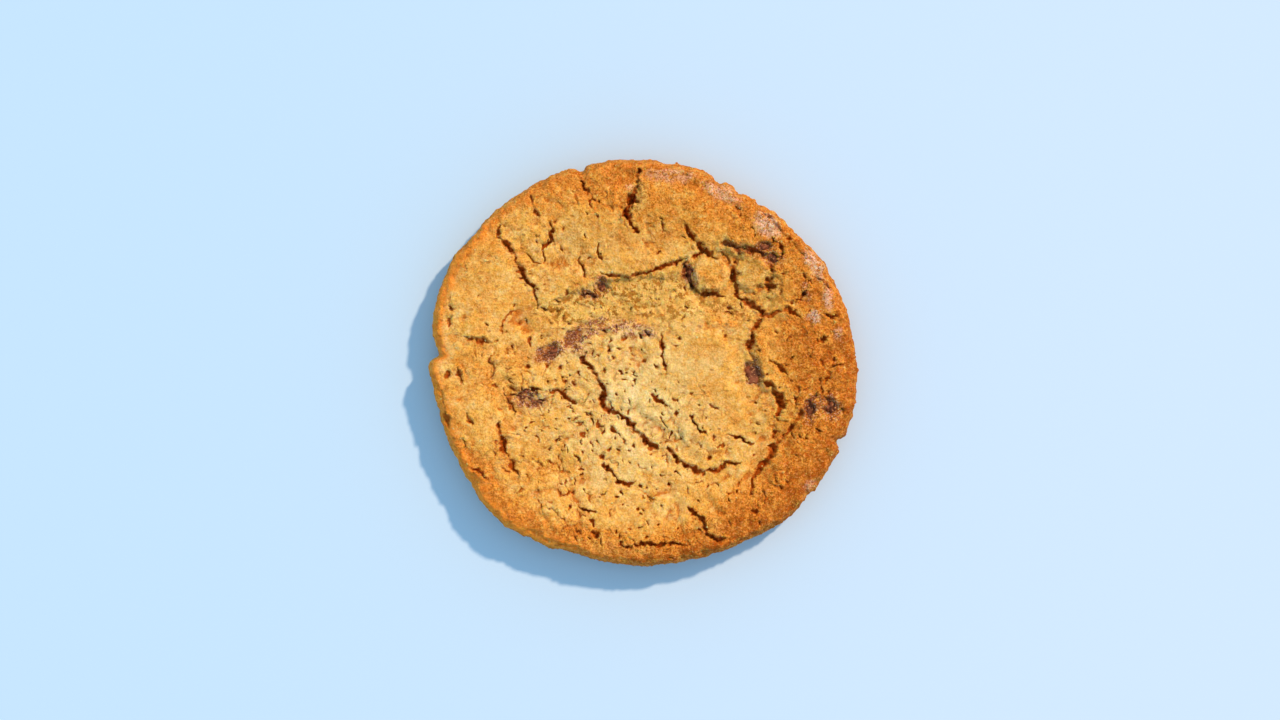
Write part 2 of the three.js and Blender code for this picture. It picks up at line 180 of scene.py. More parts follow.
def hollowness(points: np.ndarray, spread: float) -> np.ndarray:
    """Measure how far points lie below the mean height around them.

    Args:
        points: The points in millimetres.
        spread: How far around each point the heights are averaged.

    Returns:
        The depth below the mean height, in millimetres.
    """
    cell = ((points[:, :2] - points[:, :2].min(0)) / HOLLOW_STEP).astype(int)
    size = cell.max(0) + 1
    flat = cell[:, 0] * size[1] + cell[:, 1]
    total = np.bincount(flat, points[:, 2], size.prod()).reshape(size)
    count = np.bincount(flat, minlength=size.prod()).reshape(size).astype(float)
    reach = np.arange(-3 * spread, 3 * spread + HOLLOW_STEP, HOLLOW_STEP)
    bell = np.exp(-0.5 * (reach / spread) ** 2)
    for axis in (0, 1):
        total, count = (np.apply_along_axis(np.convolve, axis, grid, bell, "same") for grid in (total, count))
    mean = total / np.maximum(count, 1e-9)
    return mean[cell[:, 0], cell[:, 1]] - points[:, 2]


def turn_between(a: np.ndarray, b: float) -> np.ndarray:
    """Give the difference between two bearings, from -180 to 180 degrees."""
    return (a - b + 180.0) % 360.0 - 180.0


def read_vectors(items: bpy.types.bpy_prop_collection, name: str) -> np.ndarray:
    """Read one vector property of many items.

    Args:
        items: The items, such as a mesh's vertices.
        name: The property's name.

    Returns:
        One row of three numbers for each item.
    """
    flat = np.empty(3 * len(items))
    items.foreach_get(name, flat)
    return flat.reshape(-1, 3)


def to_mesh(name: str, bm: bmesh.types.BMesh) -> bpy.types.Mesh:
    """Turn working geometry into a mesh and free it.

    Args:
        name: The mesh's name.
        bm: The working geometry.

    Returns:
        The mesh.
    """
    mesh = bpy.data.meshes.new(name)
    bm.to_mesh(mesh)
    bm.free()
    return mesh


def to_scene(mesh: bpy.types.Mesh, finish: bpy.types.Material) -> bpy.types.Object:
    """Give a mesh its finish and put it in the scene.

    Args:
        mesh: The mesh.
        finish: Its material.

    Returns:
        The new object, with the mesh's name.
    """
    mesh.materials.append(finish)
    mesh.update()
    thing = bpy.data.objects.new(mesh.name, mesh)
    bpy.context.scene.collection.objects.link(thing)
    return thing


@dataclass(frozen=True)
class Lobe:
    """A stretch of the outline that stands out or in, by bearing and spread in degrees."""

    at: float
    before: float
    after: float
    out: float

    def reach(self, bearing: np.ndarray) -> np.ndarray:
        """Give how far the lobe moves the outline at each bearing."""
        turn = turn_between(bearing, self.at)
        return self.out * np.exp(-((turn / np.where(turn < 0, self.before, self.after)) ** 2))


@dataclass(frozen=True)
class Oval:
    """A turned oval patch of the top."""

    at: Pair
    half: Pair
    turn: float = 0.0
    rise: float = 0.0

    def span(self, places: np.ndarray) -> np.ndarray:
        """Measure how far places are from the middle, as a share of the oval's size."""
        c, s = math.cos(math.radians(self.turn)), math.sin(math.radians(self.turn))
        dx, dy = places[:, 0] - self.at[0], places[:, 1] - self.at[1]
        return np.hypot((dx * c + dy * s) / self.half[0], (dy * c - dx * s) / self.half[1])

    def inside(self, places: np.ndarray, low: float = 0.75, high: float = 1.15) -> np.ndarray:
        """Give 1 inside the oval, falling to 0 across its edge."""
        return 1.0 - smooth(self.span(places), low, high)


@dataclass(frozen=True)
class Crowd:
    """A soft spot of the top where something is common."""

    at: Pair
    spread: Pair
    strength: float = 1.0

    def near(self, x: float | np.ndarray, y: float | np.ndarray) -> float | np.ndarray:
        """Give the strength at one or many places."""
        across, along = (x - self.at[0]) / self.spread[0], (y - self.at[1]) / self.spread[1]
        return self.strength * np.exp(-(across**2) - along**2)


@dataclass(frozen=True)
class Crack:
    """A crack in the crust, through a few points, widest and deepest between its ends.

    A positive step lifts the crust on its left side, seen along the path, and a negative one on its right.
    """

    path: tuple[Pair, ...]
    width: float
    depth: float
    step: float = 0.0

    # How close together its points are and its width at the tips, in millimetres
    SPACING = 0.2
    TIP = 0.2
    # Cracks wider than this have a torn band beside them, this many widths across
    TORN_FROM = 1.05
    TORN_WIDTHS = 0.75
    TIP_DEPTH = 0.35
    TIP_TAPER = 0.31
    # How far the crust beside it stays lifted, in millimetres
    STEP_LENGTH = 3.2
    NARROWING = 0.95
    # How the line wanders and its width varies: how much, and the size of the bends, in millimetres
    WANDER = ((0.4, 2.3), (0.16, 0.8))
    VARY_SIZE = 2.6

    @cached_property
    def line(self) -> np.ndarray:
        """Points along the crack: x, y, half its width there, its depth there and its taper."""
        knots = np.array((self.path[0],) + self.path + (self.path[-1],))
        knots[0] += knots[1] - knots[2]
        knots[-1] += knots[-2] - knots[-3]
        points = []
        for a, b, c, d in zip(knots, knots[1:], knots[2:], knots[3:]):
            for t in np.linspace(0, 1, max(2, int(np.hypot(*(c - b)) / self.SPACING)), endpoint=False):
                points.append(0.5 * (2 * b + (c - a) * t + (2 * a - 5 * b + 4 * c - d) * t**2
                                     + (3 * b - a - 3 * c + d) * t**3))
        points = np.array(points + [knots[-2]])
        taper = np.sqrt(np.sin(np.pi * np.linspace(0.03, 0.97, len(points))))
        side = np.gradient(points, axis=0)[:, ::-1] * (-1, 1)
        side /= np.linalg.norm(side, axis=1, keepdims=True)
        wander = sum(amount * fractal(points, size, Layer.CRACK_SIDE) for amount, size in self.WANDER)
        points = points + side * (wander * taper)[:, None]
        vary = 0.7 if self.step else 1.5
        uneven = np.clip(0.8 + vary * fractal(points, self.VARY_SIZE, Layer.CRACK_WIDTH, 3), 0.18, 1.5)
        half = (self.TIP + (self.NARROWING * self.width - self.TIP) * taper * uneven) / 2
        depth = self.depth * (self.TIP_DEPTH + (1 - self.TIP_DEPTH) * taper) * np.clip(uneven, 0.25, 1.15)
        return np.column_stack((points, half, depth, taper))

    def near(self, places: np.ndarray, reach: float) -> tuple[np.ndarray, np.ndarray, np.ndarray, np.ndarray]:
        """Find the places that lie close to the crack.

        Args:
            places: Places on the top, x and y in millimetres.
            reach: How far from the crack to look.

        Returns:
            The indices of the close places, the distance of each, 1 or -1 for its side, and the crack's own
            numbers at the nearest point of its line.
        """
        line = self.line
        low, high = line[:, :2].min(0) - reach, line[:, :2].max(0) + reach
        index = np.flatnonzero(((places > low) & (places < high)).all(1))
        gap = places[index, None, :] - line[None, :, :2]
        distance = np.hypot(gap[..., 0], gap[..., 1])
        nearest = distance.argmin(1)
        distance = distance[np.arange(len(index)), nearest]
        along = np.gradient(line[:, :2], axis=0)[nearest]
        across = gap[np.arange(len(index)), nearest]
        side = np.sign(along[:, 0] * across[:, 1] - along[:, 1] * across[:, 0])
        close = distance < reach
        return index[close], distance[close], side[close], line[nearest[close]]


@dataclass(frozen=True)
class Pit:
    """A small drawn-out pit in the crust."""

    at: Pair
    half: Pair = (0.62, 0.4)
    turn: float = -58.0
    depth: float = 1.0

    @property
    def oval(self) -> Oval:
        """The pit's mouth."""
        return Oval(self.at, self.half, self.turn)


@dataclass(frozen=True)
class Chip:
    """A melted chip that shows in the crust, and how far its top lies below it."""

    at: Pair
    half: Pair
    turn: float
    below: float
    lumps: int = 9
    shares: Pair = (0.22, 0.46)


LOBES = (
    Lobe(57, 14, 14, -1.3), Lobe(155, 38, 38, 2.5), Lobe(222, 20, 20, 1.8), Lobe(272, 30, 30, -0.6),
    Lobe(312, 8, 8, 0.6), Lobe(348, 32, 32, 2.1), Lobe(40, 5, 5, -0.4), Lobe(86, 9, 9, -0.35),
    Lobe(141, 7, 7, -0.5), Lobe(212, 7, 7, -0.6), Lobe(250, 6, 6, -0.5), Lobe(321, 6, 6, 0.4),
    Lobe(54.5, 1.5, 1.5, -0.5), Lobe(61, 1.6, 1.6, -0.7), Lobe(67.5, 1.5, 2, -0.9),
    Lobe(107.5, 1.2, 2.2, -0.9), Lobe(177.6, 4.5, 1.2, -1.9), Lobe(181, 1.6, 4, 0.5),
    Lobe(321, 2, 2, -0.4), Lobe(338.3, 1.6, 1.2, -1.1),
)
VALLEYS = (
    Oval((20.6, -1.5), (2.8, 7), 8, -0.45), Oval((-18, 3.5), (8, 3), 28, -0.5),
    Oval((2.5, -15), (15, 3), -38, -0.35), Oval((25.5, -16.5), (3, 9), -32, -0.7),
    Oval((-26.5, -8), (2.6, 6), 12, -0.6), Oval((-27.2, -17), (1.4, 6.6), 17, -0.45),
    Oval((-3, 34), (2.6, 4.2), 0, -0.7), Oval((0, 27.5), (15, 8.5), 6, 0.5),
    Oval((-32, 15), (6.5, 10), -20, 0.4),
)
TORN = (
    Oval((17.5, 15.5), (10, 6.6), -12, -0.9), Oval((-4, 12.5), (16, 4.4), 10, -1.1),
    Oval((13.3, 17.7), (3.9, 3.6), 0, 1.1), Oval((21.5, 17.9), (3.4, 3.3), 10, 0.95),
    Oval((28.5, 1), (7, 7.5), 0, 0.5),
)
# How the crust is toasted, by bearing: the width of the rim's band, how dark it is, and how dark its edge is
BANDS = ((0, 19), (35, 13), (90, 17), (130, 11), (180, 6), (225, 7.5), (270, 9), (315, 14))
RIM_TOAST = ((0, 0.74), (45, 0.57), (90, 0.6), (130, 0.4), (178, 0.22), (215, 0.58), (270, 0.68), (315, 0.78))
EDGE_TOAST = (
    (0, 0.83), (45, 0.62), (90, 0.67), (135, 0.6), (180, 0.52), (225, 0.64), (270, 0.8), (315, 0.84),
)
PLATES = (
    Oval((29, 2), (7, 7), 0, 0.1), Oval((13.4, 17.6), (2.8, 2.4), 0, 0.12),
    Oval((21.5, 17.9), (2.8, 2.8), 10, 0.0), Oval((-24, 26), (6, 5), 40, -0.03),
    Oval((12, -17), (5, 3), 20, 0.06), Oval((17, 10), (4, 3), 0, 0.14), Oval((-28, -3), (4, 6), 0, 0.1),
)
# Smooth plates, which stay clear of scattered pits and creases
CALM = (
    Oval((11, 0.5), (7.5, 6.5), 0, 0.9), Oval((15, -9), (7, 4.5), 20, 0.7),
    Oval((13.4, 17.6), (3.4, 3), 0, 0.9), Oval((21, 18.2), (3, 3.2), 10, 0.9),
    Oval((-31, 16), (6, 8), -10, 0.8), Oval((4, 31), (6, 4), 0, 0.6), Oval((27, 3), (5, 5), 0, 0.5),
    Oval((-6, 23.5), (6, 3.5), 0, 0.7),
)
CRUMB = (
    Oval((-4, 12.5), (16.5, 4.6), 10, 1.0), Oval((7, 13), (9, 4.6), 4, 0.9),
    Oval((-17, 10.5), (4.4, 2.2), -6, 1.0), Oval((17.5, 11), (6, 2.4), -8, 0.8),
    Oval((18.2, 22.6), (5.6, 1.8), -16, 0.8), Oval((25, 15), (2, 4), 0, 0.6),
    Oval((20.4, 0.5), (1.6, 5.5), 8, 0.5), Oval((-1, 33), (2, 3.6), 0, 0.7),
    Oval((-27.6, -4), (2.4, 5.6), 18, 0.6), Oval((-31, 4.6), (4, 1.4), 6, 0.5),
    Oval((-6, -36.4), (9, 1.6), -4, 0.4), Oval((13, -32), (3.4, 2), -40, 0.45),
)
SMEARS = (
    Oval((-18.4, 2.4), (4.4, 2.2), 28, 1.0), Oval((-13.4, 5), (4.2, 2.6), 32, 1.0),
    Oval((-9.4, 7.4), (4.2, 1.9), 14, 0.9), Oval((-3.2, 7), (6.6, 2.0), -10, 0.95),
    Oval((-11.5, 2), (2.4, 1.5), 0, 0.6), Oval((-22.4, -7), (3.8, 2.3), -12, 0.95),
    Oval((-8, 15.6), (1.8, 2.1), -25, 0.9), Oval((33.2, -9), (1.7, 3.4), -8, 1.0),
    Oval((36.8, -8.6), (2.4, 3), 24, 1.0), Oval((21.8, -1.8), (2, 3), 6, 0.9),
    Oval((25, 21.6), (3.4, 2), -30, 0.8), Oval((9.4, 17.6), (1.6, 3), 18, 0.9),
    Oval((-11, 13.8), (2.6, 1.1), -14, 0.8), Oval((23.6, 23.2), (2, 1.2), 0, 0.8),
    Oval((32.2, 14.2), (1, 2.6), 8, 0.7), Oval((36.4, 15.6), (1.3, 1.1), 0, 0.6),
    Oval((18.6, 23), (3, 1.1), -20, 0.6),
)
# Patches where sugar grains crowd and pinkish-white painted glints are laid, each with its strength
SUGAR_AND_GLINT = (
    Oval((24.6, 27.4), (3.4, 2.3), -42, 0.85), Oval((34, 19.8), (3.8, 1.7), -58, 0.8),
    Oval((5, 37.4), (5.6, 1.6), -2, 0.5), Oval((15.6, 34), (4.6, 1.7), -26, 0.6),
    Oval((36.6, 13), (2.4, 1.3), 85, 0.7), Oval((33.8, 9.4), (1.8, 1.3), 0, 0.8),
    Oval((-2.6, 35.2), (0.9, 0.7), 0, 0.4), Oval((38.4, 6), (1.6, 1.1), 90, 0.5),
    Oval((33, -24), (1.6, 1), 40, 0.4),
)
CRACKS = (
    # the top rim and the top left
    Crack(((-1.4, 38.6), (-1.3, 36), (-1.9, 33.4), (-3.6, 30.6), (-2.8, 28.2), (-1.6, 26.3)), 1.7, 2.2),
    Crack(((-13, 37), (-12, 35.5), (-11.2, 33.4)), 0.6, 1.0),
    Crack(((-9.6, 34), (-10.2, 31.8), (-11, 29.5)), 0.7, 1.0),
    Crack(((-18.8, 28.2), (-17.6, 26.6), (-19.1, 24), (-20, 20.2)), 1.0, 1.6, 0.15),
    Crack(((-12.8, 21), (-12, 19.4), (-11.2, 17.2)), 0.7, 1.0),
    Crack(((-9.2, 24.3), (-9, 22.5), (-8.4, 20.8)), 0.6, 1.0),
    # the left side
    Crack(((-28.4, 27.4), (-28.1, 25), (-25.3, 21.4), (-24.4, 18.2), (-22.2, 15.3), (-20.7, 10.6)),
          1.5, 1.7, 0.2),
    Crack(((-25.3, 10.6), (-27.2, 9.6), (-28.2, 5.8)), 0.7, 0.9, -0.2),
    Crack(((-28.4, 5), (-30, 4.4), (-32.6, 4.7), (-35.8, 5.3)), 1.6, 1.3, -0.4),
    Crack(((-30, 1.9), (-29.8, -0.6), (-30.2, -2.8)), 0.8, 0.8, 0.2),
    Crack(((-38.4, 13.2), (-38.1, 10.2), (-38.7, 7.2)), 0.8, 1.2),
    Crack(((-35, 21.8), (-35.2, 20), (-34.8, 18.6)), 0.5, 0.8),
    # round the sunken crumb and the two islands
    Crack(((-8.7, 18), (-5, 17.4), (-0.5, 17.7), (3.6, 19.4), (8.6, 21)), 1.35, 1.4, 0.5),
    Crack(((-13.2, 14.6), (-10.2, 13.3), (-8.8, 14.2)), 1.0, 1.4, 0.2),
    Crack(((8, 27), (8.9, 26), (10.8, 24.4), (12, 22.4), (14.6, 21)), 1.5, 1.6, 0.3),
    Crack(((15.6, 24), (18.4, 23.2), (21.8, 22.3), (25.2, 20.6)), 1.8, 1.7, 0.3),
    Crack(((15.6, 22), (17.4, 20.2), (18, 17.4), (18.5, 13.4)), 1.3, 1.4),
    Crack(((10, 15.2), (11.2, 13.9), (13.8, 14.1), (16, 13.2)), 1.4, 1.5, 0.3),
    Crack(((8.4, 19.6), (8.9, 17.6), (10, 15.2)), 1.7, 1.6, 0.3),
    Crack(((25.4, 20), (25.4, 17.8), (24.6, 15.4), (21.6, 14.2), (18.8, 14)), 1.3, 1.3),
    Crack(((11.6, 22.2), (9.8, 21.4), (8.4, 19.6)), 0.8, 1.2),
    Crack(((26.6, 24.2), (27.4, 22.4), (26.2, 20.6)), 0.8, 1.3),
    Crack(((2.8, 29), (3.5, 27.6), (3.8, 26)), 0.6, 0.9),
    Crack(((18.4, 34.4), (21.6, 31.7), (24.8, 29.2), (27.2, 26.4), (29.6, 24), (32.8, 20.7), (35, 17.7)),
          0.7, 0.7, 0.3),
    Crack(((34.6, 17.2), (36.4, 15.6), (38.4, 14)), 0.8, 1.0),
    Crack(((34.2, -5.6), (33.2, -8.2), (32.8, -10.8)), 1.3, 1.4),
    Crack(((35.3, -5.2), (36.4, -7.2), (37.2, -9.8)), 1.4, 1.5),
    Crack(((34.6, -11.6), (34.4, -12.8), (35, -13.6)), 0.8, 1.1),
    Crack(((38.2, -8.4), (38.9, -9.2), (39, -10.2)), 0.8, 1.0),
    Crack(((30, -6.4), (30.6, -7.2), (30.3, -8.2)), 1.0, 1.0),
    # the right side, round its plate
    Crack(((18.6, 13.6), (21.6, 11.5), (24.4, 9.5), (28.4, 10.6), (31.2, 9.3)), 1.7, 1.7, -0.2),
    Crack(((32.7, 16.2), (32, 14.4), (31.1, 11.9)), 1.1, 1.5),
    Crack(((24.4, 17.6), (25.4, 16.6), (25, 15.2)), 0.8, 1.2),
    Crack(((23.8, 9.6), (21.7, 6), (21.3, 3), (21.6, 0.4)), 1.5, 1.6, 0.5),
    Crack(((22, -3.4), (24.4, -4), (26.2, -5.6), (27.3, -8), (26.6, -9.8)), 1.9, 2.0, 0.5),
    Crack(((24.8, 0.8), (26.4, 0), (28.4, -1.9)), 0.8, 1.2),
    Crack(((28, 4), (28.7, 4.8), (29.2, 5.7)), 0.5, 0.9),
    Crack(((35.3, 4.2), (36.4, 5.4), (37.6, 6.1)), 0.9, 1.3),
    Crack(((35.3, 10.2), (37, 9.6), (38.5, 9.5)), 0.6, 1.0),
    Crack(((36.5, -0.3), (38, -0.4), (39.3, -0.2)), 0.6, 1.0),
    Crack(((36.8, -1.5), (36.7, -2.8), (36.3, -4)), 0.6, 1.0),
    # the lower right
    Crack(((31.4, -9.6), (30.4, -11.7), (27.2, -15), (25, -18.7), (22.2, -21.7), (21.2, -25.6)),
          1.7, 1.5, 0.45),
    Crack(((17, -14.2), (19.2, -15), (22, -16)), 0.8, 1.2),
    Crack(((9, -10), (10.6, -12.5), (13.3, -15)), 0.8, 1.2),
    Crack(((23.8, -25.5), (24.1, -26.5), (23.8, -27.5)), 0.6, 1.0),
    # the long crack across the middle and the short ones beside it
    Crack(((-11.3, 2.4), (-12, 0.7), (-9.6, -2), (-8.1, -4.6), (-7.8, -8.3), (-4.5, -10.2)), 1.6, 1.8, 0.12),
    Crack(((-5, -10), (-3.2, -11.2), (-1.7, -13), (0.8, -15.4), (3, -16.6)), 1.8, 2.1, 0.12),
    Crack(((4.6, -16.6), (6.9, -19), (10.6, -21), (13.8, -21.4), (16.6, -19.9), (19.4, -19.4)),
          1.5, 1.6, 0.3),
    Crack(((3.9, 6.1), (3.6, 2), (4.6, -2.9)), 1.0, 1.4, 0.1),
    Crack(((-6.5, 5.1), (-6.7, 3.2), (-7.2, 1.8)), 0.8, 1.2),
    Crack(((-2, 0.4), (-1.6, -0.4), (-1, -1)), 0.6, 1.0),
    Crack(((-1.8, -3), (-1.6, -3.5), (-1.3, -4)), 0.6, 0.9),
    Crack(((2.1, 0), (2.5, -0.5), (2.7, -1)), 0.6, 0.9),
    Crack(((1.7, -6), (3.2, -7.4), (6, -9.2)), 0.9, 1.2),
    Crack(((6.5, -6.3), (8, -6.6), (10.1, -5.4)), 0.6, 0.9),
    # the lower left
    Crack(((-27.6, -6.1), (-25, -5.9), (-22.4, -4.9), (-20.2, -5.2)), 1.0, 1.4, 0.2),
    Crack(((-18.9, -5.6), (-16.6, -5.5), (-13.6, -7.8)), 1.4, 1.5, 0.12),
    Crack(((-28.2, -4.6), (-26.8, -7.2), (-25.8, -10)), 1.2, 1.2, -0.2),
    Crack(((-28.8, -11.8), (-27.9, -16.5), (-26.6, -19.4), (-24.6, -22.4)), 1.6, 1.5, -0.5),
    Crack(((-39.4, -9.6), (-38.9, -11.2), (-38.6, -12.8)), 1.5, 1.4),
    Crack(((-34.6, -9.8), (-34.2, -11.4), (-34, -12.6)), 0.9, 1.0),
    Crack(((-35.9, -14.8), (-35.7, -16), (-35.5, -16.9)), 0.6, 0.9),
    Crack(((-36.7, -0.7), (-36.4, -2.5), (-36.4, -3.8)), 1.1, 1.2),
    Crack(((-23.2, -16.6), (-22.4, -17.4), (-21.8, -18.8)), 0.5, 0.9),
    Crack(((-14, -18), (-13.2, -18.6), (-12.7, -19.7)), 0.5, 0.9),
    Crack(((-14, -22.5), (-13.4, -23.2), (-13.2, -24)), 0.5, 0.9),
    Crack(((-8.6, -19.4), (-5.8, -22), (-3.9, -23.7), (-1.6, -23.3)), 1.0, 1.4),
    Crack(((-6.8, -29.3), (-6.4, -30), (-6.1, -30.6)), 0.6, 1.0),
    Crack(((-13.6, -27.5), (-11.4, -28.9), (-9, -29.8)), 0.7, 1.1),
    Crack(((-19, -28.5), (-16.5, -30), (-15.8, -31.5)), 0.6, 0.9, -0.15),
    Crack(((-34.6, -20.4), (-32.4, -21.8), (-30.4, -23.2)), 1.2, 1.2, -0.25),
    Crack(((5.5, -21.5), (6.6, -21.6), (7.5, -22)), 0.6, 0.9),
    Crack(((9, -23.8), (10.2, -23.4), (11.5, -23.3)), 0.5, 0.8),
    # the bottom rim
    Crack(((-17, -35.5), (-16.2, -35.8), (-15.5, -35.8)), 0.8, 1.1),
    Crack(((-14.8, -35), (-14.2, -35.8), (-13.6, -36.3)), 0.7, 1.1),
    Crack(((0, -38.5), (3, -38.4), (6, -38)), 0.6, 0.9),
    Crack(((-5.2, -35.8), (-2.4, -36), (3.2, -35.7), (8.8, -36)), 0.9, 1.3),
    Crack(((8.7, -28.6), (11.7, -30.8), (12.2, -33.4), (15.4, -34.8), (18.6, -34.3)), 1.3, 1.7, 0.25),
)
PITS = (
    Pit((-22.3, 33)), Pit((-22, 32.4)), Pit((-20.9, 29.9), (0.8, 0.7)), Pit((-22.5, 4.5), (1.2, 0.65), 88),
    Pit((-22.8, -0.5)), Pit((-8.5, 20.8), (0.8, 0.5), -80), Pit((0.5, 6)), Pit((7.1, 5.2)), Pit((-1, 5.3)),
    Pit((-3.8, 5), (0.7, 0.45), 0), Pit((-11.9, -14.2), (0.85, 0.6), -35),
    Pit((-6, -13), (0.95, 0.6), -62, 1.3), Pit((-11.1, -10)), Pit((-10, -11.3), (0.8, 0.4)),
    Pit((-17.4, -15), (0.5, 0.4)), Pit((-17.5, -10.8), (0.4, 0.3)), Pit((-8, -18.2), (0.7, 0.5)),
    Pit((-6.8, -17), (0.6, 0.5)), Pit((-1.9, -16.3), (0.6, 0.45)), Pit((-12.4, -20.8), (0.55, 0.4)),
    Pit((-14.8, -25.9), (0.7, 0.45), 70), Pit((-14.6, -28.2), (0.55, 0.4)), Pit((-13.6, -4)),
    Pit((-39, -2), (0.9, 0.6), 90), Pit((-38.7, -11), (1, 0.75), 95, 1.3), Pit((-10.2, -31), (0.6, 0.5)),
    Pit((-9.6, -33.8), (0.85, 0.75), 0, 1.4), Pit((-11, -37.7), (0.7, 0.6)),
    Pit((24.8, 17), (0.8, 0.5), 30), Pit((25.8, -14), (0.6, 0.5)), Pit((6.5, -9.9), (0.65, 0.5)),
    Pit((22.2, -29.3), (0.8, 0.6), 0, 1.2), Pit((23, -31.8), (0.5, 0.4)),
    Pit((2.2, -16.3), (1.1, 0.95), -20, 1.8), Pit((15.3, -34.8), (1.2, 0.7), 10, 1.6),
    Pit((-3.3, 30), (1.2, 0.8), -60, 1.8), Pit((-20.3, -7), (0.7, 0.4), -20),
    Pit((18.8, 22.5), (1.3, 0.7), -35, 1.2), Pit((5, -17), (0.8, 0.5), -70, 1.3),
    Pit((17, -25.5), (0.4, 0.3)), Pit((11, -27.5), (0.45, 0.35)), Pit((12.8, -24.4), (0.5, 0.4)),
    Pit((-4.6, -1.4), (0.5, 0.35)), Pit((-15.4, 14), (0.7, 0.5), -70), Pit((-21, 24.6), (0.5, 0.4)),
    Pit((23.8, 21.6), (0.9, 0.7), 0, 1.5), Pit((28.7, 24.8), (0.6, 0.5)), Pit((31.6, 17.4), (0.6, 0.4)),
    Pit((37.6, 1), (0.5, 0.4)),
)
CHIPS = (
    Chip((21.9, -1.9), (1.8, 2.6), 6, 0.4, 6, (0.4, 0.8)),
    Chip((9.4, 17.6), (0.9, 1.9), 18, 0.6, 8, (0.25, 0.6)),
    Chip((23.8, 23.3), (1.6, 0.9), 0, 0.45, 4, (0.4, 0.8)),
    Chip((25.6, 20.9), (1.4, 1.0), -40, 0.45, 5, (0.4, 0.7)),
    Chip((-18.9, 2.3), (3.1, 1.5), 26, 0.15, 14, (0.1, 0.26)),
    Chip((-13.4, 5.6), (3.4, 1.5), 32, 0.15, 14, (0.1, 0.24)),
    Chip((-22.4, -7.2), (2.6, 1.5), -20, 0.15, 12, (0.12, 0.28)),
    Chip((-8.2, 15.4), (1, 1.5), -25, 0.25, 6, (0.3, 0.6)),
    Chip((33, -8.6), (0.9, 2.2), -10, 0.4, 10, (0.2, 0.45)),
    Chip((37.2, -8.8), (1.3, 1.5), 20, 0.35, 10, (0.2, 0.42)),
)

# Where the scattered cracks and pits crowd, and where the middle is palest
CRACK_CROWDS = (Crowd((-12, -14), (24, 20)), Crowd((34, -4), (9, 22), 0.8))
PIT_CROWDS = (Crowd((-6, -12), (17, 17)), Crowd((36, -4), (7, 22), 0.5))
PALE_SPOT = Crowd((-2, -9), (15, 17))


@dataclass(frozen=True)
class Outline:
    """The cookie's outline from above, in millimetres."""

    mean: float = 40.6
    lobes: tuple[Lobe, ...] = LOBES
    rough_every: float = 2.6
    rough: float = 0.2

    def radius(self, bearing: np.ndarray) -> np.ndarray:
        """Give the distance from the middle to the outline.

        Args:
            bearing: Bearings in degrees.

        Returns:
            One radius for each bearing.
        """
        out = np.full(len(bearing), self.mean)
        for lobe in self.lobes:
            out += lobe.reach(bearing)
        angle = np.radians(bearing)
        round_trip = self.mean * np.column_stack((np.cos(angle), np.sin(angle)))
        return out + self.rough * fractal(round_trip, self.rough_every, Layer.EDGE, 3)


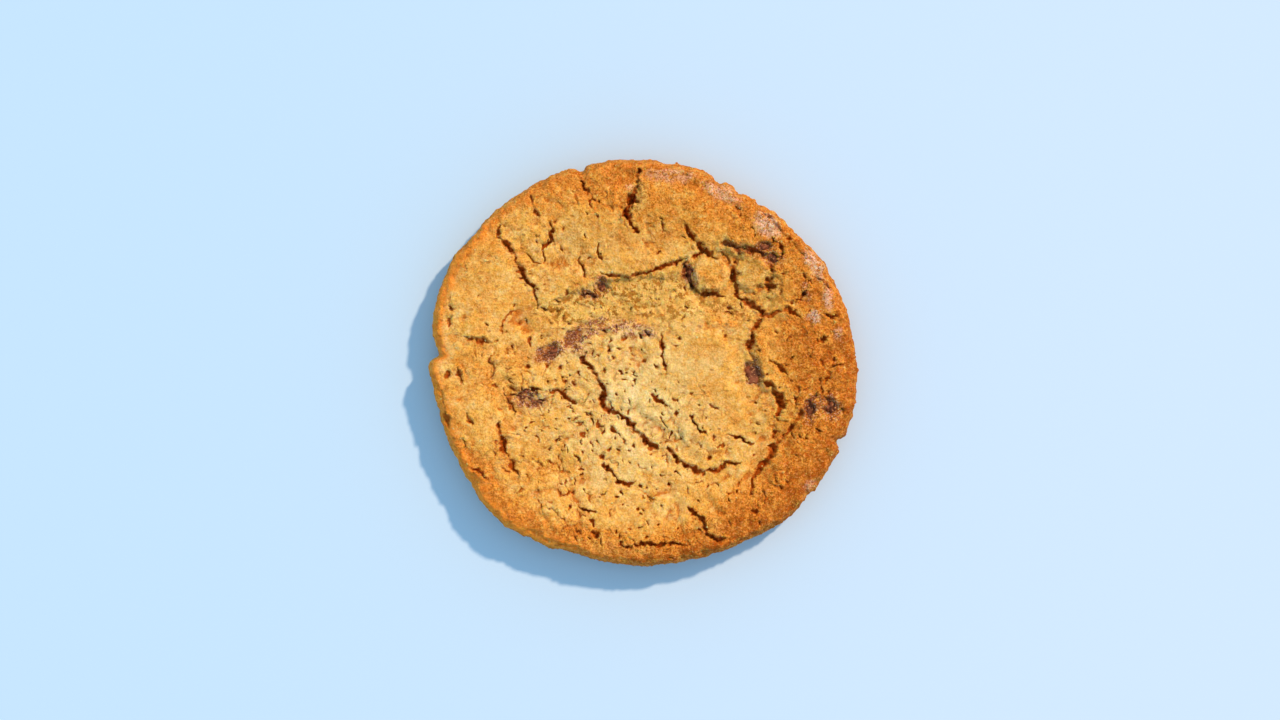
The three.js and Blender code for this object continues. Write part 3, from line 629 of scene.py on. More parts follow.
@dataclass
class Dough:
    """The baked round with its cracks and pits, as one closed skin. Sizes in millimetres."""

    outline: Outline = field(default_factory=Outline)
    rim_height: float = 9.7
    middle_height: float = 8.1
    ceiling: float = 10.2
    above_ceiling: float = 0.25
    rim_width: float = 17.0
    rim_crest: float = 6.0
    wall_height: float = 4.2
    shoulder: float = 2.2
    shoulder_power: float = 2.6
    foot_inset: float = 2.4
    net_inset: float = 1.9
    net: int = 192
    wall_rings: int = 22
    underside_net: int = 50
    refine: float = 0.32
    # The bearing, in degrees, that the painted light on the shaded edge centres on
    painted_light_bearing: float = 195.0
    scattered_pits: int = 280
    scattered_cracks: int = 165
    seed: int = 11
    # Scattered cracks and pits: their mean lean and its spread in degrees, and ranges of their sizes
    crack_lean: Pair = (-58.0, 38.0)
    crack_length: Pair = (0.7, 2.0)
    crack_width: Pair = (0.28, 0.52)
    crack_depth: Pair = (0.35, 0.7)
    pit_lean: Pair = (-58.0, 22.0)
    pit_half: Pair = (0.16, 0.3)
    pit_stretch: Pair = (1.2, 2.6)
    pit_depth: Pair = (0.6, 1.1)
    pit_gap: float = 1.0
    # How far down the wall it stops rounding over and starts turning under, and the swells of the top
    knee: float = 0.62
    swells: tuple[Pair, ...] = ((0.34, 13.0), (0.16, 4.2))
    # How toasted the middle is, and how much less at its palest
    middle_toast: float = 0.34
    paler: float = 0.24
    under_toast: float = 0.62
    # Between which upward parts of the normal the skin counts as facing up, and as wall
    facing: Pair = (0.15, 0.7)
    wall_lean: Pair = (0.35, 0.9)
    # How much the crust, the crumb, the rim, its right side and the wall stand in and out
    crust_rough: float = 0.085
    crumb_rough: float = 0.36
    rim_rough: float = 0.15
    right_rough: float = 0.08
    wall_rough: float = 0.03
    rough_band: Pair = (3.0, 12.0)
    right_side: Pair = (4.0, 30.0)
    wall_waves: tuple[Pair, ...] = ((0.34, 7.0), (0.12, 2.2))
    # Crumbs, gaps between them, pores in the wall and dimples below: their size and depth
    crumb_size: float = 1.05
    gap_size: float = 1.5
    gap_depth: float = 0.95
    pore_size: float = 2.1
    pore_depth: float = 0.5
    dimple_size: float = 2.6
    dimple_depth: float = 0.3

    def __post_init__(self) -> None:
        """Draw the places of the small pits and the short cracks."""
        self.pits = PITS + self.draw_pits()
        self.cracks = CRACKS + self.draw_cracks()

    @staticmethod
    def is_calm(place: Pair, luck: float) -> bool:
        """Say whether a scattered pit or crack is kept out of a place by a smooth plate."""
        return any(plate.span(np.array([place]))[0] < 1 and luck < plate.rise for plate in CALM)

    def draw_cracks(self) -> tuple[Crack, ...]:
        """Scatter short cracks, most of them in the lower left half.

        Returns:
            The cracks, each of three points.
        """
        draw = np.random.RandomState(self.seed + 1)
        cracks: list[Crack] = []
        while len(cracks) < self.scattered_cracks:
            bearing = draw.uniform(0, 2 * math.pi)
            radius = (self.outline.mean - 4) * math.sqrt(draw.uniform())
            x, y = radius * math.cos(bearing), radius * math.sin(bearing)
            crowd = sum(spot.near(x, y) for spot in CRACK_CROWDS)
            if draw.uniform() > 0.25 + 0.75 * crowd or self.is_calm((x, y), draw.uniform()):
                continue
            lean = math.radians(draw.normal(*self.crack_lean))
            length = draw.uniform(*self.crack_length)
            bend = draw.uniform(-0.5, 0.5) * length
            dx, dy = length * math.cos(lean), length * math.sin(lean)
            side = (-dy / length * bend, dx / length * bend)
            path = ((x - dx, y - dy), (x + side[0], y + side[1]), (x + dx, y + dy))
            cracks.append(Crack(path, draw.uniform(*self.crack_width), draw.uniform(*self.crack_depth)))
        return tuple(cracks)

    def draw_pits(self) -> tuple[Pit, ...]:
        """Scatter the small pits, which crowd in the middle and towards the lower left.

        Returns:
            The pits, clear of each other.
        """
        draw = np.random.RandomState(self.seed)
        pits: list[Pit] = []
        while len(pits) < self.scattered_pits:
            bearing = draw.uniform(0, 2 * math.pi)
            radius = (self.outline.mean - 3.5) * math.sqrt(draw.uniform())
            x, y = radius * math.cos(bearing), radius * math.sin(bearing)
            crowd = sum(spot.near(x, y) for spot in PIT_CROWDS)
            if draw.uniform() > 0.16 + 0.84 * crowd or self.is_calm((x, y), draw.uniform()):
                continue
            if any(math.hypot(x - pit.at[0], y - pit.at[1]) < self.pit_gap for pit in pits):
                continue
            short = draw.uniform(*self.pit_half)
            half = (short * draw.uniform(*self.pit_stretch), short)
            pits.append(Pit((x, y), half, draw.normal(*self.pit_lean), draw.uniform(*self.pit_depth)))
        return tuple(pits)

    def from_net(self, net_points: np.ndarray) -> tuple[np.ndarray, np.ndarray]:
        """Turn points of the square net into bearings and shares of the way to the net's edge.

        Args:
            net_points: The net's own points, x and y from -1 to 1.

        Returns:
            The bearings in degrees and the shares.
        """
        u, v = net_points[:, 0], net_points[:, 1]
        wide = np.abs(u) > np.abs(v)
        with np.errstate(divide="ignore", invalid="ignore"):
            sideways = 45 * np.nan_to_num(v / u) + np.where(u < 0, 180, 0)
            upright = 90 - 45 * np.nan_to_num(u / v) + np.where(v < 0, 180, 0)
        return np.where(wide, sideways, upright) % 360.0, np.maximum(np.abs(u), np.abs(v))

    def place(self, net_points: np.ndarray) -> tuple[np.ndarray, np.ndarray]:
        """Set the net's points in their places on the plain round.

        Args:
            net_points: The net's points; the third number counts rings down the wall.

        Returns:
            The points in millimetres, and how far inside the outline each one is.
        """
        bearing, share = self.from_net(net_points)
        radius = self.outline.radius(bearing)
        ring = -net_points[:, 2]
        down = np.clip(ring / self.wall_rings, 0, 1)
        start = math.asin((1 - self.net_inset / self.shoulder) ** (self.shoulder_power / 2))
        high = start + (math.pi / 2 - start) * np.clip(down / self.knee, 0, 1)
        low = math.pi / 2 * np.clip((down - self.knee) / (1 - self.knee), 0, 1)
        inset = np.where(
            down < self.knee,
            self.shoulder * (1 - np.sin(high) ** (2 / self.shoulder_power)),
            self.foot_inset * (1 - np.cos(low)),
        )
        on_top = ring <= 0
        below = ring > self.wall_rings
        reach = np.where(on_top, (radius - self.net_inset) * share, radius - inset)
        reach = np.where(below, (radius - self.foot_inset) * share * 0.985, reach)
        inset = np.where(on_top | below, radius - reach, inset)
        angle = np.radians(bearing)
        x, y = reach * np.cos(angle), reach * np.sin(angle)
        crest = self.crest(np.column_stack((x, y)), inset)
        fall = 1 - np.clip(inset / self.shoulder, 0, 1)
        round_over = (1 - fall**self.shoulder_power) ** (1 / self.shoulder_power)
        z = self.wall_height + (crest - self.wall_height) * round_over
        z = np.where(down > self.knee, self.wall_height * (1 - np.sin(low)), z)
        z = np.where(below, 0.0, z)
        return np.column_stack((x, y, z)), inset

    def crest(self, places: np.ndarray, inset: np.ndarray) -> np.ndarray:
        """Give the height of the top before the wall rounds it over.

        Args:
            places: Places on the top, x and y in millimetres.
            inset: How far inside the outline each place is.

        Returns:
            The heights in millimetres.
        """
        height = self.rim_height - (self.rim_height - self.middle_height) * smooth(
            inset, self.rim_crest, self.rim_width)
        for oval in VALLEYS:
            height = height + oval.rise * oval.inside(places)
        torn = ragged(places)
        for oval in TORN:
            height = height + oval.rise * oval.inside(torn, 0.84, 1.08)
        for rise, size in self.swells:
            height = height + rise * fractal(places, size, Layer.SWELL)
        return height

    def skin(self) -> bmesh.types.BMesh:
        """Make the closed net: a square for the top, rings down the wall, and a coarser square below.

        Returns:
            The net, with finer faces round the cracks, pits and chips.
        """
        bm = bmesh.new()
        bmesh.ops.create_grid(bm, x_segments=self.net, y_segments=self.net, size=1.0)
        self.refine_top(bm)
        rim = [edge for edge in bm.edges if edge.is_boundary]
        for ring in range(1, self.wall_rings + 1):
            grown = bmesh.ops.extrude_edge_only(bm, edges=rim)["geom"]
            for vert in (part for part in grown if isinstance(part, bmesh.types.BMVert)):
                vert.co.z = -ring
            rim = [part for part in grown if isinstance(part, bmesh.types.BMEdge) and part.is_boundary]
        across = self.underside_net
        below = bmesh.ops.create_grid(bm, x_segments=across, y_segments=across, size=1.0)["verts"]
        for vert in below:
            vert.co.z = -self.wall_rings - 1
        under = dict.fromkeys(face for vert in below for face in vert.link_faces)
        bmesh.ops.reverse_faces(bm, faces=list(under))
        bmesh.ops.bridge_loops(bm, edges=[edge for edge in bm.edges if edge.is_boundary])
        bmesh.ops.triangulate(bm, faces=[face for face in bm.faces if len(face.verts) > 4])
        bmesh.ops.recalc_face_normals(bm, faces=bm.faces)
        return bm

    def refine_top(self, bm: bmesh.types.BMesh) -> None:
        """Split the faces of the net that lie close to a crack, pit or chip.

        Args:
            bm: The net, before its wall is drawn down.
        """
        bm.faces.ensure_lookup_table()
        middles = np.array([face.calc_center_median()[:] for face in bm.faces])
        places = ragged(self.place(middles)[0][:, :2])
        fine = np.zeros(len(places), bool)
        for crack in self.cracks:
            index, distance, _, numbers = crack.near(places, crack.width + self.refine)
            fine[index[distance < numbers[:, 2] + self.refine]] = True
        for pit in self.pits:
            grown = Oval(pit.at, (pit.half[0] + 0.15, pit.half[1] + 0.15), pit.turn)
            fine |= grown.span(places) < 1
        for chip in CHIPS:
            grown = Oval(chip.at, (chip.half[0] + 0.4, chip.half[1] + 0.4), chip.turn)
            fine |= grown.span(places) < 1
        near_edge = np.abs(middles[:, :2]).max(1) > 1 - 2.5 / self.net
        chosen = np.flatnonzero(fine & ~near_edge)
        edges = dict.fromkeys(edge for index in chosen for edge in bm.faces[index].edges)
        bmesh.ops.subdivide_edges(bm, edges=list(edges), cuts=1, use_grid_fill=True)

    def bake(self, points: np.ndarray, inset: np.ndarray, up: np.ndarray) -> np.ndarray:
        """Say how toasted the crust is: most at the wall, in a band that is wide on the right.

        Args:
            points: The skin's points in millimetres.
            inset: How far inside the outline each one is.
            up: The upward part of the skin's normal there.

        Returns:
            0 for pale to 1 for dark brown.
        """
        bearing = np.degrees(np.arctan2(points[:, 1], points[:, 0])) % 360
        rows = (BANDS, RIM_TOAST, EDGE_TOAST)
        band, rim, edge = (np.interp(bearing, *zip(*steps), period=360) for steps in rows)
        middle = self.middle_toast - PALE_SPOT.near(points[:, 0], points[:, 1]) * self.paler
        level = middle + (rim - middle) * (1 - smooth(inset, 0.35 * band, band))
        level = level + (edge - level) * (1 - smooth(inset, 0.9, 1.2 + 0.16 * band))
        for plate in PLATES:
            level = level + plate.rise * plate.inside(points[:, :2])
        level = level + 0.05 * fractal(points, 5.0, Layer.TOAST, 3)
        under = smooth(-up, 0.6, 0.95)
        below = self.under_toast + 0.12 * fractal(points, 9.0, Layer.UNDERSIDE, 3)
        level = level * (1 - under) + under * below
        return np.clip(level, 0, 1)

    def painted_edge_light(self, places: np.ndarray, inset: np.ndarray, up: np.ndarray) -> np.ndarray:
        """Say where painted light makes the upper edge a lit orange: on the shaded left, between two
        bearings.

        Args:
            places: Places on the top, x and y in millimetres.
            inset: How far inside the outline each one is.
            up: The upward part of the skin's normal there.

        Returns:
            The share of the painted orange light at each place.
        """
        turn = np.abs(turn_between(np.degrees(np.arctan2(places[:, 1], places[:, 0])), self.painted_light_bearing))
        return (1 - smooth(turn, 40, 75)) * (1 - smooth(inset, 0.9, 3.2)) * smooth(up, 0.05, 0.4)

    def carve(self, places: np.ndarray) -> tuple[np.ndarray, np.ndarray, np.ndarray]:
        """Work out what the cracks, pits and chips' hollows take from the top.

        Args:
            places: Places on the top, x and y in millimetres.

        Returns:
            The change of height in millimetres, a share from 0 to 1 of how deep in a hole each place is, and
            a share of how torn it is beside a wide crack.
        """
        drop = np.zeros(len(places))
        lift = np.zeros(len(places))
        hole = np.zeros(len(places))
        torn = np.zeros(len(places))
        places = ragged(places)
        crumbs = 1 + 0.55 * fractal(places, 0.75, Layer.CRUMB, 3)
        broken = np.clip(1.05 + 0.8 * fractal(places, 1.1, Layer.CRACK_WIDTH, 3), 0.3, 1.6)
        for crack in self.cracks:
            reach = 3 * Crack.STEP_LENGTH if crack.step else crack.width + 1
            index, distance, side, numbers = crack.near(places, reach)
            breaks = broken[index] ** (0.5 if crack.step else 1.0)
            half, depth, taper = numbers[:, 2] * breaks, numbers[:, 3], numbers[:, 4]
            share = np.clip(distance / half, 0, 1)
            cut = (1 - share**2) ** 0.65
            drop[index] = np.maximum(drop[index], depth * cut * crumbs[index])
            dark = cut * np.clip(depth / 1.2, 0.35, 1) * np.clip(crumbs[index], 0, 1.1)
            hole[index] = np.maximum(hole[index], dark)
            lip = 0.09 * depth * np.exp(-(((distance - half - 0.15) / 0.3) ** 2))
            lift[index] += lip * (1 - cut)
            if crack.width > Crack.TORN_FROM:
                edge = taper * (1 - smooth(distance - half, 0.0, Crack.TORN_WIDTHS * crack.width))
                torn[index] = np.maximum(torn[index], edge)
            if crack.step:
                raised = side * np.sign(crack.step) > 0
                faded = np.clip((taper - Crack.TIP_TAPER) / (1 - Crack.TIP_TAPER), 0, 1)
                lift[index] += raised * abs(crack.step) * faded * np.exp(-distance / Crack.STEP_LENGTH)
        for pit in self.pits:
            cut = (1 - np.clip(pit.oval.span(places), 0, 1) ** 2) ** 0.7
            drop = np.maximum(drop, pit.depth * cut)
            hole = np.maximum(hole, cut * min(1.0, 0.45 + 0.5 * pit.depth))
        for chip in CHIPS:
            grown = Oval(chip.at, (chip.half[0] + 0.15, chip.half[1] + 0.15), chip.turn)
            cut = (1 - np.clip(grown.span(places), 0, 1) ** 4) ** 0.7
            drop = np.maximum(drop, (0.75 + chip.below) * cut)
            hole = np.maximum(hole, 0.45 * cut)
        return lift - drop, hole, torn

    def masks(self, places: np.ndarray, patches: tuple[Oval, ...], low: float, high: float) -> np.ndarray:
        """Lay a set of soft patches over the top.

        Args:
            places: Places on the top, x and y in millimetres.
            patches: The patches; the rise of each is its strength.
            low: The share of a patch's size where it starts to fade.
            high: The share where it has gone.

        Returns:
            The strongest patch's strength at each place.
        """
        places = ragged(places)
        strength = np.zeros(len(places))
        for patch in patches:
            inside = 1 - smooth(patch.span(places), low, high)
            strength = np.maximum(strength, patch.rise * inside)
        return strength

    def crumble(self, points: np.ndarray, crumb: np.ndarray, torn: np.ndarray, wall: np.ndarray,
                ) -> tuple[np.ndarray, np.ndarray]:
        """Work out the lumps of the crust and the crumb, and the gaps between the crumbs.

        Args:
            points: The plain round's points in millimetres.
            crumb: How much crumb shows at each point.
            torn: How torn the crust is there.
            wall: How far the point belongs to the wall.

        Returns:
            The change along the normals in millimetres, and how deep in a gap each point is.
        """
        first, _, _ = cells(points, self.crumb_size, Layer.CRUMB_CELL)
        lumps = np.clip(0.62 - first, -0.4, 0.6)
        rim = 1 - smooth(self.inset, *self.rough_band)
        right = smooth(points[:, 0], *self.right_side)
        rough = self.crust_rough + self.crumb_rough * crumb
        rough = rough + (self.rim_rough + self.right_rough * right) * rim + self.wall_rough * wall
        relief = rough * (1.2 * lumps + 0.9 * fractal(points, 1.2, Layer.CRUMB, 3))
        gap, _, _ = cells(points, self.gap_size, Layer.CRUMB_HOLE)
        patches = smooth(fractal(points, 3.4, Layer.CRUMB_HOLE), -0.25, 0.35)
        gaps = (1 - smooth(gap, 0.18, 0.46)) * np.maximum(crumb * patches, 0.9 * torn)
        return relief - self.gap_depth * gaps, gaps

    def part_plates(self, points: np.ndarray, crumb: np.ndarray, facing: np.ndarray,
                    ) -> tuple[np.ndarray, np.ndarray]:
        """Work out the plates that the crust has parted into, and the creases between them.

        Args:
            points: The plain round's points in millimetres.
            crumb: How much crumb shows at each point.
            facing: How far the point faces up.

        Returns:
            The change along the normals in millimetres, and how deep in a crease each point is.
        """
        places = points[:, :2]
        strayed = np.column_stack((ragged(places), np.zeros(len(places))))
        calm = self.masks(places, CALM, 0.8, 1.1)
        parted = smooth(fractal(points, 9.0, Layer.FLAKE), -0.45, 0.15) * (1 - crumb) * (1 - calm) * facing
        relief, crease = np.zeros(len(points)), np.zeros(len(points))
        for every, rise, sink, wide in PLATE_STEPS:
            near, far, level = cells(strayed, every, Layer.PLATE)
            split = (1 - smooth(far - near, 0.0, wide / every)) * parted
            relief = relief + rise * level * parted - sink * split
            crease = np.maximum(crease, split * sink / PLATE_STEPS[0][2])
        return relief, crease

    def roughen(self, points: np.ndarray) -> tuple[np.ndarray, np.ndarray, np.ndarray]:
        """Give the plain round its relief: cracks, crumb, plates, pores and dimples.

        Args:
            points: The plain round's points in millimetres.

        Returns:
            The moved points, how deep in a hole, crease, pore, dimple or crumb gap each one is, which sets
            the painted shade there, and how much of the sunken crumb shows there.
        """
        up = self.normals[:, 2]
        facing = smooth(up, *self.facing)
        wall = 1 - smooth(np.abs(up), *self.wall_lean)
        under = smooth(-up, 0.7, 0.95)
        change, carved, torn = self.carve(points[:, :2])
        torn = torn * facing
        inner = self.masks(points[:, :2], CRUMB, 0.7, 1.2) * smooth(up, 0.2, 0.6)
        crumb = np.maximum(inner, 0.8 * torn)
        lumps, gaps = self.crumble(points, crumb, torn, wall)
        plates, crease = self.part_plates(points, crumb, facing)
        pore, _, _ = cells(points, self.pore_size, Layer.WALL)
        pores = (1 - smooth(pore, 0.1, 0.32)) * wall
        dimple, _, _ = cells(points, self.dimple_size, Layer.UNDERSIDE)
        dimples = (1 - smooth(dimple, 0.08, 0.34)) * under
        relief = (lumps + plates - self.pore_depth * pores) * (1 - under)
        waves = sum(rise * fractal(points, size, Layer.WALL) for rise, size in self.wall_waves)
        relief = relief + wall * waves
        moved = points + self.normals * relief[:, None]
        moved[:, 2] += change * facing + self.dimple_depth * dimples
        over = np.maximum(moved[:, 2] - self.ceiling, 0.0)
        moved[:, 2] = np.maximum(moved[:, 2] - (1 - self.above_ceiling) * over, 0.0)
        # How strongly painted shade darkens each kind of recess: cracks and pits, torn bands, wall pores,
        # dimples, creases and gaps
        holes = (carved * facing, 0.34 * torn, 0.7 * pores, 0.5 * dimples, 0.22 * crease, 0.74 * gaps)
        return moved, np.clip(np.maximum.reduce(holes), 0, 1), inner

    def hollows(self, points: np.ndarray, top: np.ndarray) -> np.ndarray:
        """Say how far each point of the top lies below what is around it, which sets the painted shade and
        highlights.

        Args:
            points: The finished points in millimetres.
            top: Which of them are on the top.

        Returns:
            0 on a ridge, 0.5 on level crust and 1 in a hollow.
        """
        hollow = np.zeros(len(points))
        for spread, depth in HOLLOWS:
            hollow[top] += hollowness(points[top], spread) / depth
        return np.clip(0.5 + hollow * smooth(self.inset, self.net_inset, 3.4), 0, 1)

    def build(self, finish: bpy.types.Material) -> bpy.types.Object:
        """Build the dough, with its masks for the finish.

        Args:
            finish: The crust's material.

        Returns:
            The finished object, centred over the origin.
        """
        mesh = to_mesh("dough", self.skin())
        net_points = read_vectors(mesh.vertices, "co")
        plain, self.inset = self.place(net_points)
        mesh.vertices.foreach_set("co", plain.ravel())
        mesh.update()
        self.normals = read_vectors(mesh.vertex_normals, "vector")
        points, hole, inner = self.roughen(plain)
        self.shift = (points.max(0) + points.min(0)) / 2 * (1, 1, 0)
        self.points = points - self.shift
        mesh.vertices.foreach_set("co", (self.points * MM).ravel())
        up, places = self.normals[:, 2], plain[:, :2]
        facing = smooth(up, *self.facing)
        self.toast = self.bake(points, self.inset, up)
        values = {
            Mask.BAKE: self.toast,
            Mask.HOLE_SHADE: hole,
            Mask.CRUMB: inner,
            Mask.SMEAR: self.masks(places, SMEARS, 0.6, 1.15) * facing,
            Mask.SUGAR_AND_GLINT: self.masks(places, SUGAR_AND_GLINT, 0.5, 1.15) * facing,
            Mask.HOLLOW: self.hollows(points, net_points[:, 2] == 0),
            Mask.EDGE: self.painted_edge_light(places, self.inset, up),
        }
        for mask, value in values.items():
            layer = mesh.attributes.new(mask.value, "FLOAT", "POINT")
            layer.data.foreach_set("value", value.astype(np.float32))
        mesh.shade_smooth()
        return to_scene(mesh, finish)

    def height_at(self, at: Pair) -> float:
        """Give the height of the top at one place, before it is carved."""
        place = np.array([at])
        bearing = np.degrees(np.arctan2(place[:, 1], place[:, 0])) % 360
        inset = self.outline.radius(bearing) - np.hypot(place[:, 0], place[:, 1])
        fall = 1 - np.clip(inset / self.shoulder, 0, 1)
        round_over = (1 - fall**self.shoulder_power) ** (1 / self.shoulder_power)
        crest = self.crest(place, inset)
        return float((self.wall_height + (crest - self.wall_height) * round_over)[0])


@dataclass
class MeltedChips:
    """The chips that show in the crust, each sitting in its hollow. Sizes in millimetres."""

    dough: Dough
    thickness: float = 2.4
    seed: int = 3
    fineness: int = 3
    uneven: float = 0.7
    squareness: float = 2.6

    def build(self, finish: bpy.types.Material) -> bpy.types.Object:
        """Build all the chips as one piece.

        Args:
            finish: The chocolate's material.

        Returns:
            The finished object.
        """
        draw = np.random.RandomState(self.seed)
        bm = bmesh.new()
        for chip in CHIPS:
            top = self.dough.height_at(chip.at) - chip.below - self.thickness / 2
            whole = Matrix.Rotation(math.radians(chip.turn), 3, "Z")
            for _ in range(chip.lumps):
                share = draw.uniform(*chip.shares)
                off = Vector((*(draw.uniform(-1, 1, 2) * (1 - share) * chip.half), draw.uniform(-0.3, 0.2)))
                made = bmesh.ops.create_icosphere(bm, subdivisions=self.fineness, radius=1.0)["verts"]
                seed = float(draw.uniform(0, 50))
                for vert in made:
                    self.settle(vert, chip, share, seed)
                bmesh.ops.rotate(bm, verts=made, matrix=whole)
                shift = Vector((*chip.at, top)) + whole @ off - Vector(self.dough.shift)
                bmesh.ops.translate(bm, verts=made, vec=shift)
        bmesh.ops.scale(bm, verts=bm.verts, vec=(MM, MM, MM))
        mesh = to_mesh("melted_chips", bm)
        mesh.shade_smooth()
        return to_scene(mesh, finish)

    def settle(self, vert: bmesh.types.BMVert, chip: Chip, share: float, seed: float) -> None:
        """Move one point of a ball to a flat-topped, uneven lump.

        Args:
            vert: The point on the ball.
            chip: The chip that it belongs to.
            share: The lump's size as a share of the chip's.
            seed: Where to read the noise.
        """
        spot = vert.co.copy()
        out = (abs(spot.x) ** self.squareness + abs(spot.y) ** self.squareness) ** (1 / self.squareness)
        flat = math.hypot(spot.x, spot.y)
        widen = flat / out if out > 1e-6 else 1.0
        where = Vector((*chip.at, Layer.CHIP.value + seed))
        swell = 1 + self.uneven * noise.fractal(spot * 1.3 + where, 1.0, 2.0, 3)
        vert.co.x = spot.x * widen * chip.half[0] * swell * share
        vert.co.y = spot.y * widen * chip.half[1] * swell * share
        level = math.copysign(abs(spot.z) ** 0.7, spot.z) * self.thickness / 2
        vert.co.z = level * share**0.5 + 0.2 * noise.fractal(vert.co * 1.4 + where, 1.0, 2.0, 3)


@dataclass
class RimGrains:
    """Small crumbs and sugar grains baked onto the crust, as one piece; those in the sugar patches carry its
    painted glints.
    """

    dough: Dough
    count: int = 1000
    seed: int = 5
    smallest: float = 0.09
    largest: float = 0.24
    sunk: float = 0.35
    most_at: float = 45.0
    rim_spread: float = 4.5

    def build(self, finish: bpy.types.Material) -> bpy.types.Object:
        """Scatter the grains over the crust, most of them on the upper right of the rim.

        Args:
            finish: The crust's material.

        Returns:
            The finished object, with the crust's masks on it.
        """
        draw = np.random.RandomState(self.seed)
        points, normals = self.dough.points, self.dough.normals
        places = points[:, :2] + self.dough.shift[:2]
        sugar_and_glint = self.dough.masks(places, SUGAR_AND_GLINT, 0.6, 1.4)
        bearing = np.arctan2(places[:, 1], places[:, 0])
        from_right = np.cos((bearing - math.radians(self.most_at)) / 2) ** 6
        rim = np.exp(-((self.dough.inset / self.rim_spread) ** 2)) * (0.25 + 0.75 * from_right)
        weight = (0.03 + 1.6 * sugar_and_glint + 0.5 * rim) * smooth(normals[:, 2], -0.1, 0.4)
        chosen = draw.choice(len(points), self.count, replace=False, p=weight / weight.sum())
        bm = bmesh.new()
        bake = bm.verts.layers.float.new(Mask.BAKE.value)
        sugar_and_glint_layer = bm.verts.layers.float.new(Mask.SUGAR_AND_GLINT.value)
        for index in chosen:
            size = self.smallest + (self.largest - self.smallest) * draw.uniform() ** 2
            made = bmesh.ops.create_icosphere(bm, subdivisions=1, radius=size)["verts"]
            stretch = Vector(draw.uniform(0.7, 1.3, 3))
            for vert in made:
                vert.co *= 1 + 0.3 * noise.noise(vert.co * 6 + Vector((float(index), 0.0, 0.0)))
            bmesh.ops.scale(bm, verts=made, vec=stretch)
            bmesh.ops.rotate(bm, verts=made, matrix=Euler(draw.uniform(0, 2 * math.pi, 3)).to_matrix())
            spot = Vector(points[index]) - Vector(normals[index]) * size * self.sunk
            bmesh.ops.translate(bm, verts=made, vec=spot)
            tone = float(np.clip(self.dough.toast[index] - 0.2 + draw.normal(0, 0.15), 0, 1))
            for vert in made:
                vert[bake] = tone
                vert[sugar_and_glint_layer] = float(min(1.0, sugar_and_glint[index] * draw.uniform(0.6, 1.4)))
        bmesh.ops.scale(bm, verts=bm.verts, vec=(MM, MM, MM))
        mesh = to_mesh("rim_grains", bm)
        mesh.shade_smooth()
        return to_scene(mesh, finish)


class NodeBench:
    """Makes and joins the nodes of one shader tree."""

    def __init__(self, tree: bpy.types.NodeTree) -> None:
        """Start on a tree."""
        self.tree = tree

    def add(self, kind: str, inputs: dict | None = None, **settings: object) -> bpy.types.Node:
        """Add a node.

        Args:
            kind: The node's type name.
            inputs: Values or sockets for its inputs, by name or number.
            settings: Values for its own settings.

        Returns:
            The new node.
        """
        node = self.tree.nodes.new(kind)
        for name, value in settings.items():
            setattr(node, name, value)
        for name, value in (inputs or {}).items():
            if isinstance(value, bpy.types.NodeSocket):
                self.tree.links.new(value, node.inputs[name])
            else:
                node.inputs[name].default_value = value
        return node

    def math(self, operation: str, *values: object, clamp: bool = False) -> bpy.types.NodeSocket:
        """Add a math node and give its result."""
        node = self.add("ShaderNodeMath", dict(enumerate(values)), operation=operation, use_clamp=clamp)
        return node.outputs[0]

    def times(self, a: object, b: object) -> bpy.types.NodeSocket:
        """Multiply two values."""
        return self.math("MULTIPLY", a, b)

    def plus(self, a: object, b: object) -> bpy.types.NodeSocket:
        """Add two values."""
        return self.math("ADD", a, b)

    def swung(self, noise_value: object, amount: object) -> bpy.types.NodeSocket:
        """Turn noise that centres on a half into a swing about zero."""
        return self.times(self.math("SUBTRACT", noise_value, 0.5), amount)

    def place_in_mm(self) -> bpy.types.NodeSocket:
        """Give the place on the object in millimetres."""
        place = self.add("ShaderNodeTexCoord").outputs["Object"]
        return self.add("ShaderNodeVectorMath", {0: place, "Scale": 1 / MM}, operation="SCALE").outputs[0]

    def ramp(self, value: object, low: float, high: float, to_low: float = 0.0, to_high: float = 1.0,
             ) -> bpy.types.NodeSocket:
        """Map a value smoothly from one range to another and give the result."""
        return self.add(
            "ShaderNodeMapRange",
            {"Value": value, "From Min": low, "From Max": high, "To Min": to_low, "To Max": to_high},
            interpolation_type="SMOOTHSTEP",
        ).outputs["Result"]

    def noise(self, place: object, every: float, detail: float = 2.0, rough: float = 0.5,
              ) -> bpy.types.NodeSocket:
        """Add soft noise with bumps of a size in millimetres and give its value."""
        return self.add(
            "ShaderNodeTexNoise",
            {"Vector": place, "Scale": 1 / every, "Detail": detail, "Roughness": rough},
        ).outputs["Fac"]

    def mix(self, factor: object, a: object, b: object, blend: str = "MIX") -> bpy.types.NodeSocket:
        """Mix two colours and give the result."""
        return self.add(
            "ShaderNodeMix", {0: factor, 6: a, 7: b}, data_type="RGBA", blend_type=blend, clamp_factor=True,
        ).outputs[2]


def rgba(colour: Colour) -> tuple[float, float, float, float]:
    """Give a colour with full cover."""
    return (*colour, 1.0)


def blank_material(name: str) -> tuple[bpy.types.Material, NodeBench]:
    """Make a material without nodes.

    Args:
        name: The material's name.

    Returns:
        The material and a bench for its nodes.
    """
    material = bpy.data.materials.new(name)
    material.use_nodes = True
    material.node_tree.nodes.clear()
    return material, NodeBench(material.node_tree)


